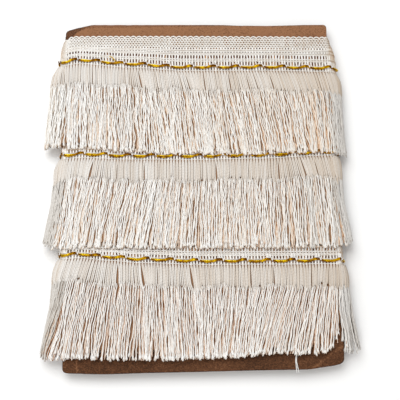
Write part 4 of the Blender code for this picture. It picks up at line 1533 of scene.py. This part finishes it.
# %% [markdown]
# ## A loose thread
# One thread has come out of the lowest tier and lies across the foot of the card. It follows
# no rule of the trim, so it goes through a few listed knots. It is two thin plies
# side by side that part at the end.

# %% Loose thread
# The x and y of its knots, and a ply's radius at shares of the way.
THREAD = ((77.8, -131.5), (77.2, -138.5), (77.9, -143.0), (78.5, -148.3))
THREAD_SIZE = ((0, 0.38), (0.9, 0.36), (1, 0.15))
THREAD_STEPS = 12
# It starts up in the fringe, this much above where it lies on the card.
THREAD_LIES, THREAD_STARTS = 0.45, 3.0
# Half the way between the plies, and what it grows by up to the end.
THREAD_HALF, THREAD_PARTS = 0.32, 0.75


def loose_thread():
    bundle = Bundle()
    share = np.linspace(0, 1, THREAD_STEPS)
    x, y = through_knots(THREAD, THREAD_STEPS)
    height = CARD_FRONT + THREAD_LIES + THREAD_STARTS * np.clip(1 - share * 3.5, 0, 1) ** 2
    size = read_table(THREAD_SIZE, share)[0]
    for way in (-1, 1):
        aside = way * (THREAD_HALF + THREAD_PARTS * share ** 3)
        path = np.column_stack([x + aside + SHIFT_X, y, height])
        bundle.add_one(path, UP, size, 5, 0.97, shade=0.2)
    settle(bundle.make("loose_thread", STRAND_YARN), "yarn")


loose_thread()

# %% [markdown]
# ## Light, floor and camera
# The pack lies on a pale table and is seen from almost straight above, leaning a little
# towards its foot. The main light comes from beyond the pack's head and a little from the
# left, so each strand has a bright side and each tier shades what is under its cut ends.

# %% Numbers of the studio
# Square lamps that look at the pack: name, place in metres, width in metres, power and colour.
LAMPS = (
    ("key", (-0.25, 0.45, 1.1), 0.9, 10.9, (0.97, 0.99, 1.0)),
    ("fill", (-0.40, -0.85, 0.8), 1.0, 4.1, (1.0, 0.98, 0.95)),
)
SURROUNDINGS, SURROUNDINGS_STRENGTH = (1.0, 0.98, 0.955, 1), 0.47
FLOOR_COLOUR, FLOOR_HALF, FLOOR_HEIGHT = (0.96, 0.96, 0.96, 1), 3, -0.0002
# The camera's elevation, its distance in metres, its lens and the point that it looks at.
ELEVATION, DISTANCE, LENS = math.radians(78.0), 0.80, 86.7
LOOKS_AT = Vector((SHIFT_X * MM, -6.6 * MM, 14 * MM))
print("the camera stands", DISTANCE, "m away with a lens of", LENS, "mm")

# %% Lamps, floor and camera
def soft_light(name, place_m, width, power, colour):
    lamp = bpy.data.lights.new(name, "AREA")
    lamp.color = colour
    lamp.shape = "RECTANGLE"
    lamp.size = lamp.size_y = width
    lamp.energy = power
    made = bpy.data.objects.new(name, lamp)
    made.location = place_m
    made.rotation_euler = (-Vector(place_m)).to_track_quat("-Z", "Y").to_euler()
    bpy.context.scene.collection.objects.link(made)


def make_floor():
    material, _, surface = new_material("pale_floor", Roughness=0.9)
    surface.inputs["Base Color"].default_value = FLOOR_COLOUR
    mesh = bpy.data.meshes.new("floor")
    signs = ((-1, -1), (1, -1), (1, 1), (-1, 1))
    corners = [(FLOOR_HALF * x, FLOOR_HALF * y, FLOOR_HEIGHT) for x, y in signs]
    mesh.from_pydata(corners, [], [(0, 1, 2, 3)])
    mesh.materials.append(material)
    floor = bpy.data.objects.new("floor", mesh)
    bpy.context.scene.collection.objects.link(floor)
    floor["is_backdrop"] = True


def make_camera():
    back = Vector((0, -math.cos(ELEVATION), math.sin(ELEVATION)))
    data = bpy.data.cameras.new("camera")
    data.lens = LENS
    camera = bpy.data.objects.new("camera", data)
    camera.location = LOOKS_AT + back * DISTANCE
    camera.rotation_euler = (-back).to_track_quat("-Z", "Y").to_euler()
    bpy.context.scene.collection.objects.link(camera)
    bpy.context.scene.camera = camera


make_floor()
for lamp_row in LAMPS:
    soft_light(*lamp_row)
world = bpy.data.worlds.new("studio")
world.use_nodes = True
background = world.node_tree.nodes["Background"].inputs
background["Color"].default_value = SURROUNDINGS
background["Strength"].default_value = SURROUNDINGS_STRENGTH
bpy.context.scene.world = world
bpy.context.scene.view_settings.view_transform = "Standard"
make_camera()

# %% [markdown]
# ## Size of the pack
# The yarns may stand a little proud of the solids but no more. It could be judged by eye, but
# two boxes of numbers are exact, so both are printed.

# %% Sizes
visual_box = [list(corner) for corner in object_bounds()]
for low, high in (cad_box, visual_box):
    print("box", [round((b - a) / MM, 1) for a, b in zip(low, high)], "mm")
